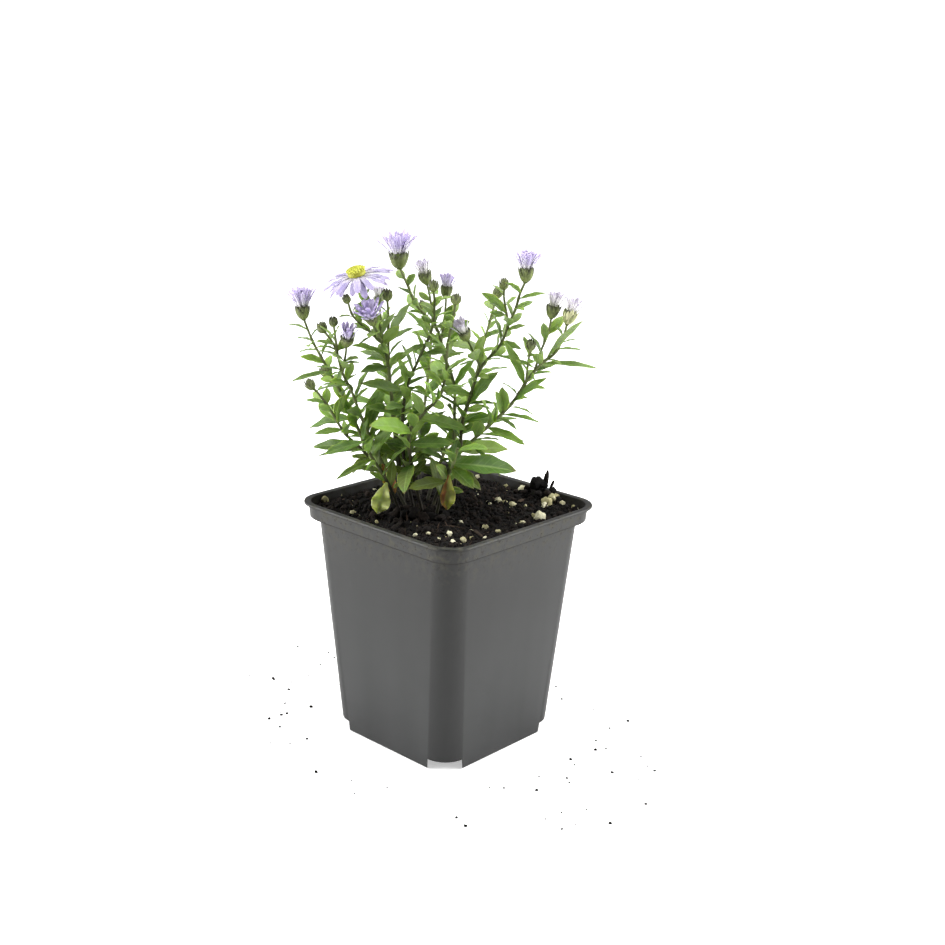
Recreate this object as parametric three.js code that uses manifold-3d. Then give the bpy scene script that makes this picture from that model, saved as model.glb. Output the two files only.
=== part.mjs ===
// A small potted aster in flower, in a square nursery pot. Millimetres, +Z up.
// The origin is the centre of the pot's underside, and the pot's sides run along X and Y.
import * as THREE from 'three';
import { mergeVertices } from 'three/addons/utils/BufferGeometryUtils.js';
import Module from 'manifold-3d';

const wasm = await Module();
wasm.setup();

// Driving dimensions: the pot
const POT_HEIGHT = 100;
const POT_MOUTH = 90;
const POT_SHOULDER = 80;
const POT_FOOT = 66;
const WALL = 1;
const CORNER = 10;
const COLLAR_HEIGHT = 7;
const LIP_HEIGHT = 1.2;
const LIP_REACH = 1.5;
const NOTCH_HEIGHT = 4.5;
const NOTCH_WIDTH = 14;
const NOTCH_DEPTH = 12;
const DRAIN_RADIUS = 2.5;
const DRAIN_SHIFT = 2;

// The soil, and the play round what stands in it
const SOIL_TOP = 96.5;
const SOIL_EDGE = 95.4;
const SOIL_MARGIN = 0.8;
const SOIL_ROUGHNESS = 0.8;
const ROOT_DEPTH = 12;
const HOLE_PLAY = 1;
const GAP = 0.3;

// The plant: its turn in the pot, the turn from leaf to leaf in degrees, and its thin blades
const PLANT_TURN = 43;
const GOLDEN_TURN = 137.5;
const LEAF_THICKNESS = 0.7;
const RAY_THICKNESS = 0.6;

// How far leaves keep away from other stems, leaves and heads, and the height that all the fresh
// ones stay above
const STALK_CLEARANCE = 2.3;
const LEAF_CLEARANCE = 2.6;
const OWN_LEAF_CLEARANCE = 1.8;
const DRY_LEAF_CLEARANCE = 2.4;
const BUD_CLEARANCE = 3;
const HEAD_CLEARANCE = 5.5;
const LOWEST_LEAF = 108.5;

const UP = new THREE.Vector3(0, 0, 1);

const vec = (x, y, z) => new THREE.Vector3(x, y, z);
const rad = THREE.MathUtils.degToRad;
const mix = THREE.MathUtils.lerp;

// Seeded draws: a linear congruential generator, so that the plant grows alike each time
function seeded(seed) {
  let state = seed;
  return (low, high) => {
    state = (state * 1664525 + 1013904223) % 4294967296;
    return low + (high - low) * (state / 4294967296);
  };
}

// Solids

// A closed skin over a row of rings. Each ring is a list of points that runs counter-clockwise
// seen from the next ring. The first and the last ring may be a single point.
function loft(rings) {
  const positions = [];
  const face = (a, b, c) => {
    for (const p of [a, b, c]) positions.push(p.x, p.y, p.z);
  };
  for (let k = 0; k + 1 < rings.length; k++) {
    const low = rings[k];
    const high = rings[k + 1];
    const count = Math.max(low.length, high.length);
    for (let i = 0; i < count; i++) {
      const j = (i + 1) % count;
      if (low.length > 1) face(low[i], low[j], high[high.length > 1 ? j : 0]);
      if (high.length > 1) face(low[low.length > 1 ? i : 0], high[j], high[i]);
    }
  }
  const first = rings[0];
  const last = rings[rings.length - 1];
  for (let i = 1; i + 1 < first.length; i++) face(first[0], first[i + 1], first[i]);
  for (let i = 1; i + 1 < last.length; i++) face(last[0], last[i], last[i + 1]);
  const geometry = new THREE.BufferGeometry();
  geometry.setAttribute('position', new THREE.Float32BufferAttribute(positions, 3));
  return geometry;
}

function toSolid(geometry) {
  const bare = geometry.clone();
  bare.deleteAttribute('normal');
  bare.deleteAttribute('uv');
  const merged = mergeVertices(bare, 1e-4);
  return new wasm.Manifold(new wasm.Mesh({
    numProp: 3,
    vertProperties: new Float32Array(merged.attributes.position.array),
    triVerts: new Uint32Array(merged.index.array),
  }));
}

const join = (geometries) => geometries.map(toSolid).reduce((whole, piece) => whole.add(piece));

function toGeometry(solid) {
  const mesh = solid.getMesh();
  const geometry = new THREE.BufferGeometry();
  const positions = new THREE.Float32BufferAttribute(mesh.vertProperties, 3);
  geometry.setAttribute('position', positions);
  geometry.setIndex(new THREE.Uint32BufferAttribute(mesh.triVerts, 1));
  return geometry;
}

const finish = (color, roughness) => new THREE.MeshStandardMaterial({ color, roughness, metalness: 0 });

const MATERIALS = {
  pot: finish(0x5f5f60, 0.55),
  soil: finish(0x2b2119, 0.95),
  green: finish(0x55722f, 0.6),
  lilac: finish(0xb9a6e0, 0.7),
  white: finish(0xd9d8d4, 0.7),
  yellow: finish(0xd9c31f, 0.7),
  fading: finish(0x9a9a35, 0.7),
  brown: finish(0x6b4a25, 0.85),
};

function addNode(parent, name, geometry, material) {
  const mesh = new THREE.Mesh(geometry, MATERIALS[material]);
  mesh.name = name;
  parent.add(mesh);
  return mesh;
}

// Pot: a thin shell of rounded squares, with a stepped collar and a lip round its mouth

const ARC_STEPS = 4;

function roundedSquare(half, radius, z) {
  const points = [];
  for (let corner = 0; corner < 4; corner++) {
    const middle = rad(45 + 90 * corner);
    const reach = (half - radius) * Math.SQRT2;
    for (let step = 0; step <= ARC_STEPS; step++) {
      const angle = rad(90 * corner + (90 * step) / ARC_STEPS);
      points.push(vec(
        reach * Math.cos(middle) + radius * Math.cos(angle),
        reach * Math.sin(middle) + radius * Math.sin(angle),
        z,
      ));
    }
  }
  return points;
}

const SHOULDER_Z = POT_HEIGHT - COLLAR_HEIGHT;
const BODY_SLOPE = (POT_SHOULDER - POT_FOOT) / 2 / SHOULDER_Z;
const bodyHalf = (z) => POT_FOOT / 2 + BODY_SLOPE * z;
const MOUTH_HALF = POT_MOUTH / 2;
const COLLAR_HALF = MOUTH_HALF - LIP_REACH;
const BORE_HALF = COLLAR_HALF - 1.1 * WALL;

// A box at one bottom corner of the pot, its long side along the diagonal
function cornerBox(corner, width, depth, top) {
  const box = new THREE.BoxGeometry(2 * depth, width, 2 * top);
  const tip = (bodyHalf(0) - CORNER) * Math.SQRT2 + CORNER;
  box.translate(tip, 0, 0);
  box.rotateZ(rad(45 + 90 * corner));
  return toSolid(box);
}

// The pot's inside, from a floor up, moved in by an inset
function cavity(floor, inset, rings) {
  const low = roundedSquare(bodyHalf(floor) - WALL - inset, CORNER - WALL - inset, floor);
  const step = SHOULDER_Z + WALL + inset;
  const high = roundedSquare(bodyHalf(step) - WALL - inset, CORNER - WALL - inset, step);
  let solid = toSolid(loft([[vec(0, 0, floor)], low, high, ...rings]));
  for (let corner = 0; corner < 4; corner++) {
    const grown = WALL + inset;
    const width = NOTCH_WIDTH + 2 * grown;
    solid = solid.subtract(cornerBox(corner, width, NOTCH_DEPTH + grown, NOTCH_HEIGHT + grown));
  }
  return solid;
}

function potGeometry() {
  const outside = loft([
    [vec(0, 0, 0)],
    roundedSquare(bodyHalf(0), CORNER, 0),
    roundedSquare(bodyHalf(SHOULDER_Z), CORNER, SHOULDER_Z),
    roundedSquare(COLLAR_HALF - 0.5, CORNER + 0.7, SHOULDER_Z + 0.6),
    roundedSquare(COLLAR_HALF, CORNER + 1, POT_HEIGHT - LIP_HEIGHT),
    roundedSquare(MOUTH_HALF, CORNER + 1.8, POT_HEIGHT - LIP_HEIGHT + 0.3),
    roundedSquare(MOUTH_HALF, CORNER + 1.8, POT_HEIGHT - 0.3),
    roundedSquare(MOUTH_HALF - 0.3, CORNER + 1.6, POT_HEIGHT),
    [vec(0, 0, POT_HEIGHT)],
  ]);
  const inside = cavity(WALL, 0, [
    roundedSquare(BORE_HALF - 0.4, CORNER, SHOULDER_Z + WALL + 0.6),
    roundedSquare(BORE_HALF, CORNER, POT_HEIGHT + 1),
    [vec(0, 0, POT_HEIGHT + 1)],
  ]);
  let solid = toSolid(outside).subtract(inside);
  for (let corner = 0; corner < 4; corner++) {
    solid = solid.subtract(cornerBox(corner, NOTCH_WIDTH, NOTCH_DEPTH, NOTCH_HEIGHT));
    const drain = new THREE.CylinderGeometry(DRAIN_RADIUS, DRAIN_RADIUS, 6 * WALL, 12);
    drain.rotateX(rad(90));
    drain.translate((bodyHalf(0) - CORNER) * Math.SQRT2 + DRAIN_SHIFT, 0, NOTCH_HEIGHT + WALL / 2);
    drain.rotateZ(rad(45 + 90 * corner));
    solid = solid.subtract(toSolid(drain));
  }
  return toGeometry(solid);
}

// Leafy stems. Each path is a list of points in the plant's own frame, which is turned about Z:
// x runs to the right, y away from the front corner of the pot, and z up.

// A stem: where it leaves the soil, how many leaves it bears, the turn of its first leaf, its way
// up, its head and its side shoots
const STEMS = [
  {
    name: 'stem_left_low', root: [-22.5, -2], leaves: 9, turn: 200,
    way: [[-26, -4, 111.5], [-35, -7, 123], [-41.5, -9, 130], [-46.5, -11, 139], [-51, -12, 146],
      [-53.5, -12, 148.5]],
    head: { kind: 'bud', radius: 1.7, length: 4.5 },
  },
  {
    name: 'stem_left_brush', root: [-24, 2], leaves: 12, turn: 60,
    way: [[-30, 1, 115.5], [-37, 2, 128.5], [-42.5, 3, 140.5], [-52, 4, 157.5], [-55.5, 4, 164],
      [-59, 4, 173]],
    head: { kind: 'brush', radius: 3.1, length: 6.2, rays: 10, reach: 7.6, tilt: [5, 22], lean: [-0.1, 0, 1] },
    shoots: [
      { way: [[-37, 2, 128.5], [-40, 6, 134.5], [-44.5, 9, 143.5], [-47.5, 10, 146], [-49.5, 10, 149]],
        head: { kind: 'bud', radius: 2, length: 5 } },
    ],
  },
  {
    name: 'stem_left_inner', root: [-17, -5.5], leaves: 12, turn: 300,
    way: [[-28.5, -3, 119.5], [-35, -3, 134], [-39.5, -2, 145.5], [-43, -3, 153], [-46, -3, 163.5],
      [-50, -2, 169]],
    head: { kind: 'bud', radius: 1.7, length: 4.5 },
    shoots: [
      { way: [[-43, -3, 153], [-41.5, -6, 161], [-41, -8, 165]],
        head: {
          kind: 'tuft', color: 'lilac', radius: 2.8, length: 5.4, rays: 6, reach: 5.4, tilt: [4, 18],
        } },
      { way: [[-45.2, -3, 160], [-45.5, -5, 167], [-46, -7, 172.5]],
        head: { kind: 'bud', radius: 1.5, length: 4 } },
    ],
  },
  {
    name: 'stem_open_flower', root: [-18.5, 3], leaves: 13, turn: 120,
    way: [[-21, 2, 120.5], [-23.5, 1, 141.5], [-26.5, 0, 164], [-30, 0, 175], [-33, -1, 183], [-36, -2, 187]],
    head: {
      kind: 'flower', radius: 3.3, length: 4, rays: 16, reach: 12.5, tilt: [86, 102],
      lean: [-0.26, -0.22, 1],
    },
    shoots: [
      { way: [[-26.5, 0, 164], [-32, -3, 169.5], [-38.5, -5, 176], [-40.5, -6, 181.5]],
        head: { kind: 'bud', radius: 1.3, length: 3.6 } },
      { way: [[-26.3, 0, 162], [-28.5, -6, 169], [-30.5, -10, 174]],
        head: {
          kind: 'brush', radius: 2.5, length: 5, rays: 9, reach: 6.5, tilt: [12, 44],
          lean: [-0.2, -0.5, 1],
        } },
    ],
  },
  {
    name: 'stem_pale_upright', root: [-19.5, 8], leaves: 12, turn: 20,
    way: [[-22, 7, 119], [-24, 5, 140.5], [-25.5, 5, 163.5], [-25.5, 5, 174], [-26, 5, 181]],
    head: { kind: 'bud', radius: 1.8, length: 4.6 },
  },
  {
    name: 'stem_tall_fan', root: [-3.5, 6], leaves: 14, turn: 250,
    way: [[1, 7, 119.5], [1.5, 7, 136.5], [1, 7, 147.5], [-3, 7, 159], [-6.5, 8, 170], [-14.5, 9, 178.5],
      [-18, 9, 186], [-21.5, 9, 193.5]],
    head: { kind: 'brush', radius: 4.1, length: 7.2, rays: 12, reach: 9, tilt: [8, 34], lean: [-0.08, 0, 1] },
    shoots: [
      { way: [[-6.5, 8, 169], [-8.5, 5, 179], [-9.5, 3, 185], [-10.5, 3, 188.5]],
        head: {
          kind: 'tuft', color: 'white', radius: 2.9, length: 5.8, rays: 6, reach: 4.8, tilt: [3, 16],
        } },
      { way: [[-4.6, 8, 164], [-3.5, 10, 173], [-3, 11, 179], [-3, 11, 182]],
        head: {
          kind: 'tuft', color: 'lilac', radius: 2.7, length: 5.2, rays: 6, reach: 5, tilt: [4, 22],
        } },
    ],
  },
  {
    name: 'stem_right_tall', root: [1.5, 2], leaves: 14, turn: 40,
    way: [[4, 1, 121.5], [5, 0, 134.5], [6.5, 0, 139.5], [11, -1, 155], [18, -1, 164], [20.5, -2, 169],
      [22, -2, 174], [24.5, -2, 180], [26, -2, 186], [28, -2, 191]],
    head: { kind: 'brush', radius: 3.1, length: 6.4, rays: 10, reach: 7, tilt: [5, 22], lean: [0.05, 0, 1] },
    shoots: [
      { way: [[11.6, -1, 156], [9, -4, 162], [7, -6, 166.5], [6, -7, 168.5]],
        head: {
          kind: 'tuft', color: 'white', radius: 2.7, length: 5.4, rays: 6, reach: 5, tilt: [3, 16],
        } },
      { way: [[22, -2, 173], [21, 1, 178.5], [20, 3, 183.5], [20, 3, 187]],
        head: { kind: 'bud', radius: 1.6, length: 4.2 } },
    ],
  },
  {
    name: 'stem_right_long', root: [-6.5, -4], leaves: 14, turn: 330,
    way: [[-1.5, -4, 112.5], [5, -5, 123], [14.5, -6, 133], [23.5, -7, 142.5], [30, -7, 153], [35.5, -7, 160],
      [40.5, -8, 164.5], [43.5, -8, 171.5], [44.5, -8, 176]],
    head: { kind: 'tuft', color: 'white', radius: 2.9, length: 6.2, rays: 6, reach: 5.4, tilt: [4, 20] },
    shoots: [
      { way: [[32, -7, 156], [35, -5, 164.5], [37, -4, 169.5], [38, -4, 173.5], [38.5, -4, 177.5]],
        head: {
          kind: 'tuft', color: 'white', radius: 2.8, length: 6, rays: 6, reach: 5.4, tilt: [3, 16],
        } },
      { way: [[29.6, -7, 152.3], [30, -9, 160.5], [30.5, -11, 166]],
        head: { kind: 'bud', radius: 1.7, length: 4.2 } },
    ],
  },
  {
    name: 'stem_dark_crossing', root: [-14.5, -2.5], leaves: 12, turn: 160,
    way: [[-17.5, -2, 113], [-19, -3, 128.5], [-18, -4, 146], [-13, -5, 159.5], [-8, -6, 171.5],
      [-7, -6, 181.5], [-7.5, -6, 187]],
    head: { kind: 'bud', radius: 1.7, length: 4.4 },
  },
  {
    name: 'stem_front_bent', root: [-10.5, -9], leaves: 12, turn: 280,
    way: [[-14, -11, 114], [-16, -12.5, 131], [-11.5, -13, 138.5], [-4, -13, 147.5], [-2, -13, 157],
      [-1.5, -12, 167], [0.5, -11, 178], [1, -11, 183]],
    head: { kind: 'bud', radius: 1.6, length: 4.2 },
  },
  {
    name: 'shoot_front_right', root: [-4.5, -12], leaves: 8, turn: 90,
    way: [[-1.5, -16, 113], [1.5, -19, 120.5], [3.5, -21, 128.5]],
  },
  {
    name: 'shoot_front_left', root: [-19.5, -10], leaves: 8, turn: 210,
    way: [[-24.5, -14, 112.5], [-30, -17, 122.5], [-34, -18, 130]],
  },
  {
    name: 'stem_back_left', root: [-16.5, 13], leaves: 12, turn: 100,
    way: [[-21, 20, 115.5], [-26, 27, 135], [-29, 31, 155.5], [-30.5, 33, 170], [-31, 33, 174]],
    head: { kind: 'tuft', color: 'white', radius: 2, length: 4.6, rays: 5, reach: 4, tilt: [3, 14] },
  },
  {
    name: 'stem_back_right', root: [-8.5, 13], leaves: 12, turn: 10,
    way: [[-0.5, 22, 120], [7.5, 28, 136], [12, 33, 156], [16, 35, 172], [17.5, 36, 178]],
    head: { kind: 'bud', radius: 1.8, length: 4.6 },
  },
  {
    name: 'stem_back_middle', root: [-12.5, 18], leaves: 12, turn: 70,
    way: [[-13, 30, 117.5], [-11.5, 38, 133], [-10, 42, 149.5], [-10, 44, 162], [-13, 44, 170]],
    head: { kind: 'bud', radius: 1.8, length: 4.6 },
  },
];

// Leaves that stand out in the plant's outline, and the big ones in its middle: stem, root, tip
// and greatest width
const STANDING_LEAVES = [
  { stem: 'stem_right_long', root: [35.5, -7, 160], tip: [57.5, -8, 158.5], width: 3.2 },
  { stem: 'stem_right_long', root: [29, -7, 151.5], tip: [20, -9, 169], width: 4.6 },
  { stem: 'stem_right_long', root: [38, -7.5, 162], tip: [50.5, -11.5, 178], width: 4 },
  { stem: 'stem_right_long', root: [24, -7, 143.5], tip: [37.5, -11, 155], width: 5 },
  { stem: 'stem_right_long', root: [14.5, -6, 133], tip: [30, -9, 127], width: 4.5 },
  { stem: 'shoot_front_right', root: [1.8, -19, 121.5], tip: [26.5, -22, 120], width: 10.5 },
  { stem: 'shoot_front_right', root: [1.5, -19, 120], tip: [10, -27, 114], width: 6 },
  { stem: 'shoot_front_right', root: [-1.2, -16.3, 114], tip: [-15.5, -21.5, 111.5], width: 6.5 },
  { stem: 'shoot_front_left', root: [-33.5, -18, 129], tip: [-48.5, -21, 124.5], width: 5.5 },
  { stem: 'shoot_front_left', root: [-29.5, -17, 121.5], tip: [-44, -22, 114.5], width: 3.4 },
  { stem: 'stem_left_brush', root: [-49, 3.7, 152], tip: [-64, 1, 148], width: 3 },
  { stem: 'stem_pale_upright', root: [-25.5, 5, 164], tip: [-16.5, 1, 181], width: 5.5 },
  { stem: 'stem_right_tall', root: [26, -2, 184], tip: [36, -4, 187], width: 2.6 },
  { stem: 'stem_right_tall', root: [7, 0, 141], tip: [18.5, -3, 155], width: 7 },
  { stem: 'stem_tall_fan', root: [1, 7, 146.5], tip: [9, 4, 158], width: 4.5 },
  { stem: 'stem_tall_fan', root: [-2.8, 7, 158.5], tip: [3, 4, 170], width: 5 },
  { stem: 'stem_front_bent', root: [-15.4, -12, 127], tip: [1.5, -16.5, 128.5], width: 7 },
  { stem: 'stem_right_tall', root: [8, -0.4, 145.5], tip: [-3, -6, 147.5], width: 6.5 },
  { stem: 'stem_dark_crossing', root: [-17.8, -4, 146], tip: [-35.5, -10, 150.5], width: 6 },
  { stem: 'stem_dark_crossing', root: [-18.6, -3.3, 137], tip: [-33.5, -12, 141.5], width: 5.5 },
  { stem: 'stem_dark_crossing', root: [-17.2, -4.2, 148], tip: [-21, -9, 161], width: 4.5 },
  { stem: 'stem_left_brush', root: [-37.7, 2, 130], tip: [-45, 0, 143.5], width: 4 },
  { stem: 'stem_dark_crossing', root: [-10, -5.6, 166], tip: [-19.5, -10, 162], width: 3 },
  { stem: 'stem_open_flower', root: [-26, 0, 160], tip: [-38.5, -12, 166], width: 5 },
  { stem: 'stem_open_flower', root: [-25.3, 0.3, 155], tip: [-35.5, -8, 154.5], width: 5 },
  { stem: 'stem_right_long', root: [20, -6.7, 138.5], tip: [17.5, -10, 149], width: 4.5 },
];

const STEM_TUBE = { radii: [0.85, 0.5], sides: 5 };
const SHOOT_TUBE = { radii: [0.55, 0.45], sides: 4 };
const STEM_STEP = 9;

// Leaves by the kind of stalk: their lengths from foot to tip, and the span of the stalk they take
const STEM_LEAVES = { sizes: [25, 9.5], span: [0.17, 0.9] };
const YOUNG_LEAVES = { sizes: [21, 14], span: [0.34, 0.97] };
const SHOOT_LEAVES = { sizes: [8, 5.5], span: [0.3, 0.85] };
const SHOOT_LEAF_COUNT = 2;
const LONG_LEAF = 11;
const STANDING_BEND = 24;
const STANDING_TURN = 28;
const DRY_BEND = 8;

// A path's points, evenly spaced along a smooth curve through its hand-chosen points
function walk(way) {
  const curve = new THREE.CatmullRomCurve3(way.map((p) => vec(...p)), false, 'catmullrom', 0.5);
  const fine = curve.getPoints((way.length - 1) * 12);
  const marks = [0];
  for (let i = 1; i < fine.length; i++) marks.push(marks[i - 1] + fine[i].distanceTo(fine[i - 1]));
  const length = marks[marks.length - 1];
  const count = Math.max(2, Math.round(length / STEM_STEP));
  const points = [];
  let k = 0;
  for (let i = 0; i <= count; i++) {
    const target = (length * i) / count;
    while (k + 2 < marks.length && marks[k + 1] < target) k++;
    const part = (target - marks[k]) / (marks[k + 1] - marks[k]);
    points.push(fine[k].clone().lerp(fine[k + 1], Math.min(part, 1)));
  }
  return points;
}

// Points about one millimetre apart on the straight runs between a path's points
function finely(points) {
  const fine = [points[0]];
  for (let k = 1; k < points.length; k++) {
    const count = Math.max(1, Math.round(points[k].distanceTo(points[k - 1])));
    for (let i = 1; i <= count; i++) fine.push(points[k - 1].clone().lerp(points[k], i / count));
  }
  return fine;
}

function tangentAt(points, i) {
  const before = points[Math.max(i - 1, 0)];
  const after = points[Math.min(i + 1, points.length - 1)];
  return after.clone().sub(before).normalize();
}

function ringRound(center, tangent, radius, sides) {
  const side = vec(0, 1, 0).cross(tangent).normalize();
  const front = tangent.clone().cross(side);
  const ring = [];
  for (let i = 0; i < sides; i++) {
    const angle = (2 * Math.PI * i) / sides;
    ring.push(center.clone()
      .addScaledVector(side, radius * Math.cos(angle))
      .addScaledVector(front, radius * Math.sin(angle)));
  }
  return ring;
}

function tube(points, { radii, sides }) {
  const last = points.length - 1;
  return loft(points.map((p, i) => {
    const radius = mix(radii[0], radii[1], i / last);
    return ringRound(p, tangentAt(points, i), radius, sides);
  }));
}

// A thin pointed blade with a keel along its underside. It starts along `along`, with its upper
// face towards `face`, and bends down by `bend` degrees on its way to the tip.
function blade(root, along, face, length, width, bend, thickness, outline) {
  const across = face.clone().cross(along);
  const turn = rad(bend);
  const rings = outline.map(([part, share]) => {
    const angle = turn * part;
    const ahead = (length * Math.sin(angle)) / turn;
    const drop = (length * (1 - Math.cos(angle))) / turn;
    const middle = root.clone().addScaledVector(along, ahead).addScaledVector(face, -drop);
    if (share === 0) return [middle];
    const up = face.clone().multiplyScalar(Math.cos(angle)).addScaledVector(along, Math.sin(angle));
    const half = (width * share) / 2;
    return [
      middle.clone().addScaledVector(across, -half).addScaledVector(up, thickness / 2),
      middle.clone().addScaledVector(up, -thickness / 2),
      middle.clone().addScaledVector(across, half).addScaledVector(up, thickness / 2),
    ];
  });
  return loft(rings);
}

const LEAF_OUTLINE = [[0, 0.25], [0.3, 0.9], [0.68, 0.82], [1, 0]];
const SMALL_OUTLINE = [[0, 0.4], [0.45, 1], [1, 0]];
const RAY_OUTLINE = [[0, 0.35], [0.45, 0.9], [0.85, 1], [1, 0]];
const SHORT_RAY_OUTLINE = [[0, 0.4], [0.65, 1], [1, 0]];

// Where a leaf runs: points along its middle and both edges, for keeping it clear of others
function leafSamples(leaf) {
  const across = leaf.face.clone().cross(leaf.along);
  const turn = rad(leaf.bend);
  const samples = [];
  for (let i = 1; i <= 8; i++) {
    const part = i / 8;
    const angle = turn * part;
    const middle = leaf.root.clone()
      .addScaledVector(leaf.along, (leaf.length * Math.sin(angle)) / turn)
      .addScaledVector(leaf.face, (-leaf.length * (1 - Math.cos(angle))) / turn);
    const half = part < 0.95 ? leaf.width * 0.42 : 0;
    samples.push(middle);
    samples.push(middle.clone().addScaledVector(across, half));
    samples.push(middle.clone().addScaledVector(across, -half));
  }
  return samples;
}

// A leaf drawn from a root towards a tip, with its upper face turned up and a little to the front
function leafTowards(root, tip, width, bend) {
  const chord = tip.clone().sub(root);
  const flat = chord.clone().normalize();
  const facing = vec(0, -Math.sin(rad(STANDING_TURN)), Math.cos(rad(STANDING_TURN)));
  const face = facing.clone().addScaledVector(flat, -facing.dot(flat)).normalize();
  const half = rad(bend) / 2;
  const along = flat.clone().multiplyScalar(Math.cos(half)).addScaledVector(face, Math.sin(half));
  const length = (chord.length() * half) / Math.sin(half);
  const up = face.clone().multiplyScalar(Math.cos(half)).addScaledVector(flat, -Math.sin(half));
  return { root, along, face: up, length, width, bend };
}

const leafSolid = (leaf) => blade(
  leaf.root, leaf.along, leaf.face, leaf.length, leaf.width, leaf.bend, LEAF_THICKNESS,
  leaf.length > LONG_LEAF ? LEAF_OUTLINE : SMALL_OUTLINE,
);

// Flower heads, each in its own frame: its stalk's end at the origin, opening along +Z

const CUP_SIDES = 8;
const TIP_REACH = 0.16;

// The green cup under a coloured head, its rim cut into bract tips
function cup(radius, length) {
  const ring = (share, z, tips = 0) => {
    const points = [];
    for (let i = 0; i < CUP_SIDES; i++) {
      const angle = (2 * Math.PI * i) / CUP_SIDES;
      const out = i % 2 ? 0 : tips;
      const r = radius * (share + out * TIP_REACH);
      points.push(vec(r * Math.cos(angle), r * Math.sin(angle), length * (z + out * TIP_REACH)));
    }
    return points;
  };
  return loft([
    ring(0.2, -0.12),
    ring(0.45, 0.02),
    ring(1, 0.34),
    ring(0.95, 0.7),
    ring(0.88, 0.84, 1),
    ring(0.66, 0.79),
    [vec(0, 0, length * 0.55)],
  ]);
}

// A closed green bud, its bracts as ridges
function bud(radius, length) {
  const ring = (share, z) => {
    const points = [];
    for (let i = 0; i < CUP_SIDES; i++) {
      const angle = (2 * Math.PI * i) / CUP_SIDES;
      const r = radius * share * (i % 2 ? 0.88 : 1);
      points.push(vec(r * Math.cos(angle), r * Math.sin(angle), length * z));
    }
    return points;
  };
  return loft([ring(0.25, -0.12), ring(0.55, 0.06), ring(1, 0.36), ring(0.8, 0.72), [vec(0, 0, length)]]);
}

const FLOWER_SEAT = 0.9;
const CORE_SIDES = 5;

// The coloured rays of one head, rooted in a slim core that sits in the cup
function rays(head, draw) {
  const { radius, length, rays: count, reach, tilt } = head;
  const open = head.kind === 'flower';
  const seat = open ? length + FLOWER_SEAT : length * 0.82;
  const ring = (r, z) => {
    const points = [];
    for (let i = 0; i < CORE_SIDES; i++) {
      const angle = (2 * Math.PI * i) / CORE_SIDES;
      points.push(vec(r * Math.cos(angle), r * Math.sin(angle), z));
    }
    return points;
  };
  const core = loft([
    [vec(0, 0, length * 0.55 + 0.45)],
    ring(radius * 0.4, length * 0.8 + 0.1),
    ring(radius * (open ? 0.85 : 0.4), seat + 0.1),
    ring(radius * (open ? 0.85 : 0.3), seat + 0.7),
    [vec(0, 0, seat + (open ? 0.7 : 2))],
  ]);
  const pieces = [core];
  for (let i = 0; i < count; i++) {
    const turn = rad((360 * i) / count + draw(-6, 6));
    const lean = rad(i % 2 ? tilt[1] + draw(-4, 4) : mix(tilt[0], tilt[1], 0.35) + draw(-4, 4));
    const out = vec(Math.cos(turn), Math.sin(turn), 0);
    const along = out.clone().multiplyScalar(Math.sin(lean)).addScaledVector(UP, Math.cos(lean));
    const face = UP.clone().multiplyScalar(Math.sin(lean)).addScaledVector(out, -Math.cos(lean));
    const root = out.clone().multiplyScalar(radius * (open ? 0.6 : 0.28)).setZ(seat + 0.3);
    const size = reach * draw(0.88, 1.08);
    const bend = open ? 28 : 16;
    const width = open ? 2.2 : 1.5;
    const outline = head.kind === 'tuft' ? SHORT_RAY_OUTLINE : RAY_OUTLINE;
    pieces.push(blade(root, along, face, size, width, bend, RAY_THICKNESS, outline));
  }
  return join(pieces);
}

const DISC_SIDES = 10;
const DISC_HEIGHT = 1.8;

// The yellow middle of the open flower: a low dome of florets over the rays' core
function disc(radius, height) {
  const ring = (r, z, wave) => {
    const points = [];
    for (let i = 0; i < DISC_SIDES; i++) {
      const angle = (2 * Math.PI * i) / DISC_SIDES;
      points.push(vec(r * Math.cos(angle), r * Math.sin(angle), z + (i % 2 ? wave : 0)));
    }
    return points;
  };
  return loft([
    [vec(0, 0, 0)],
    ring(radius * 0.9, 0, 0),
    ring(radius, height * 0.4, 0),
    ring(radius * 0.85, height * 0.8, 0.3),
    ring(radius * 0.5, height * 0.8, -0.3),
    [vec(0, 0, height)],
  ]);
}

// The way a head faces: its own lean, or its stalk's last direction
function headAxis(path, head) {
  return head.lean ? vec(...head.lean).normalize() : tangentAt(path, path.length - 1);
}

function placeHead(geometry, path, head) {
  geometry.applyQuaternion(new THREE.Quaternion().setFromUnitVectors(UP, headAxis(path, head)));
  geometry.translate(...path[path.length - 1].toArray());
  return geometry;
}

// Growing the plant

const draw = seeded(20251);
const guards = [];

// Points that leaves keep away from: by `reach`, or by `ownReach` if they grow on the same stem
function guard(owner, points, reach, ownReach = 0) {
  guards.push({ owner, points, reach, ownReach });
}

function isClear(owner, samples) {
  const low = samples.some((p) => p.z < LOWEST_LEAF);
  return !low && guards.every((other) => {
    const near = (other.owner === owner ? other.ownReach : other.reach) ** 2;
    return other.points.every((p) => samples.every((q) => p.distanceToSquared(q) > near));
  });
}

function stemPath(stem) {
  const [x, y] = stem.root;
  return [[x, y, SOIL_TOP - ROOT_DEPTH], [x, y, SOIL_TOP - 4], [x, y, SOIL_TOP + 2], ...stem.way];
}

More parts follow.
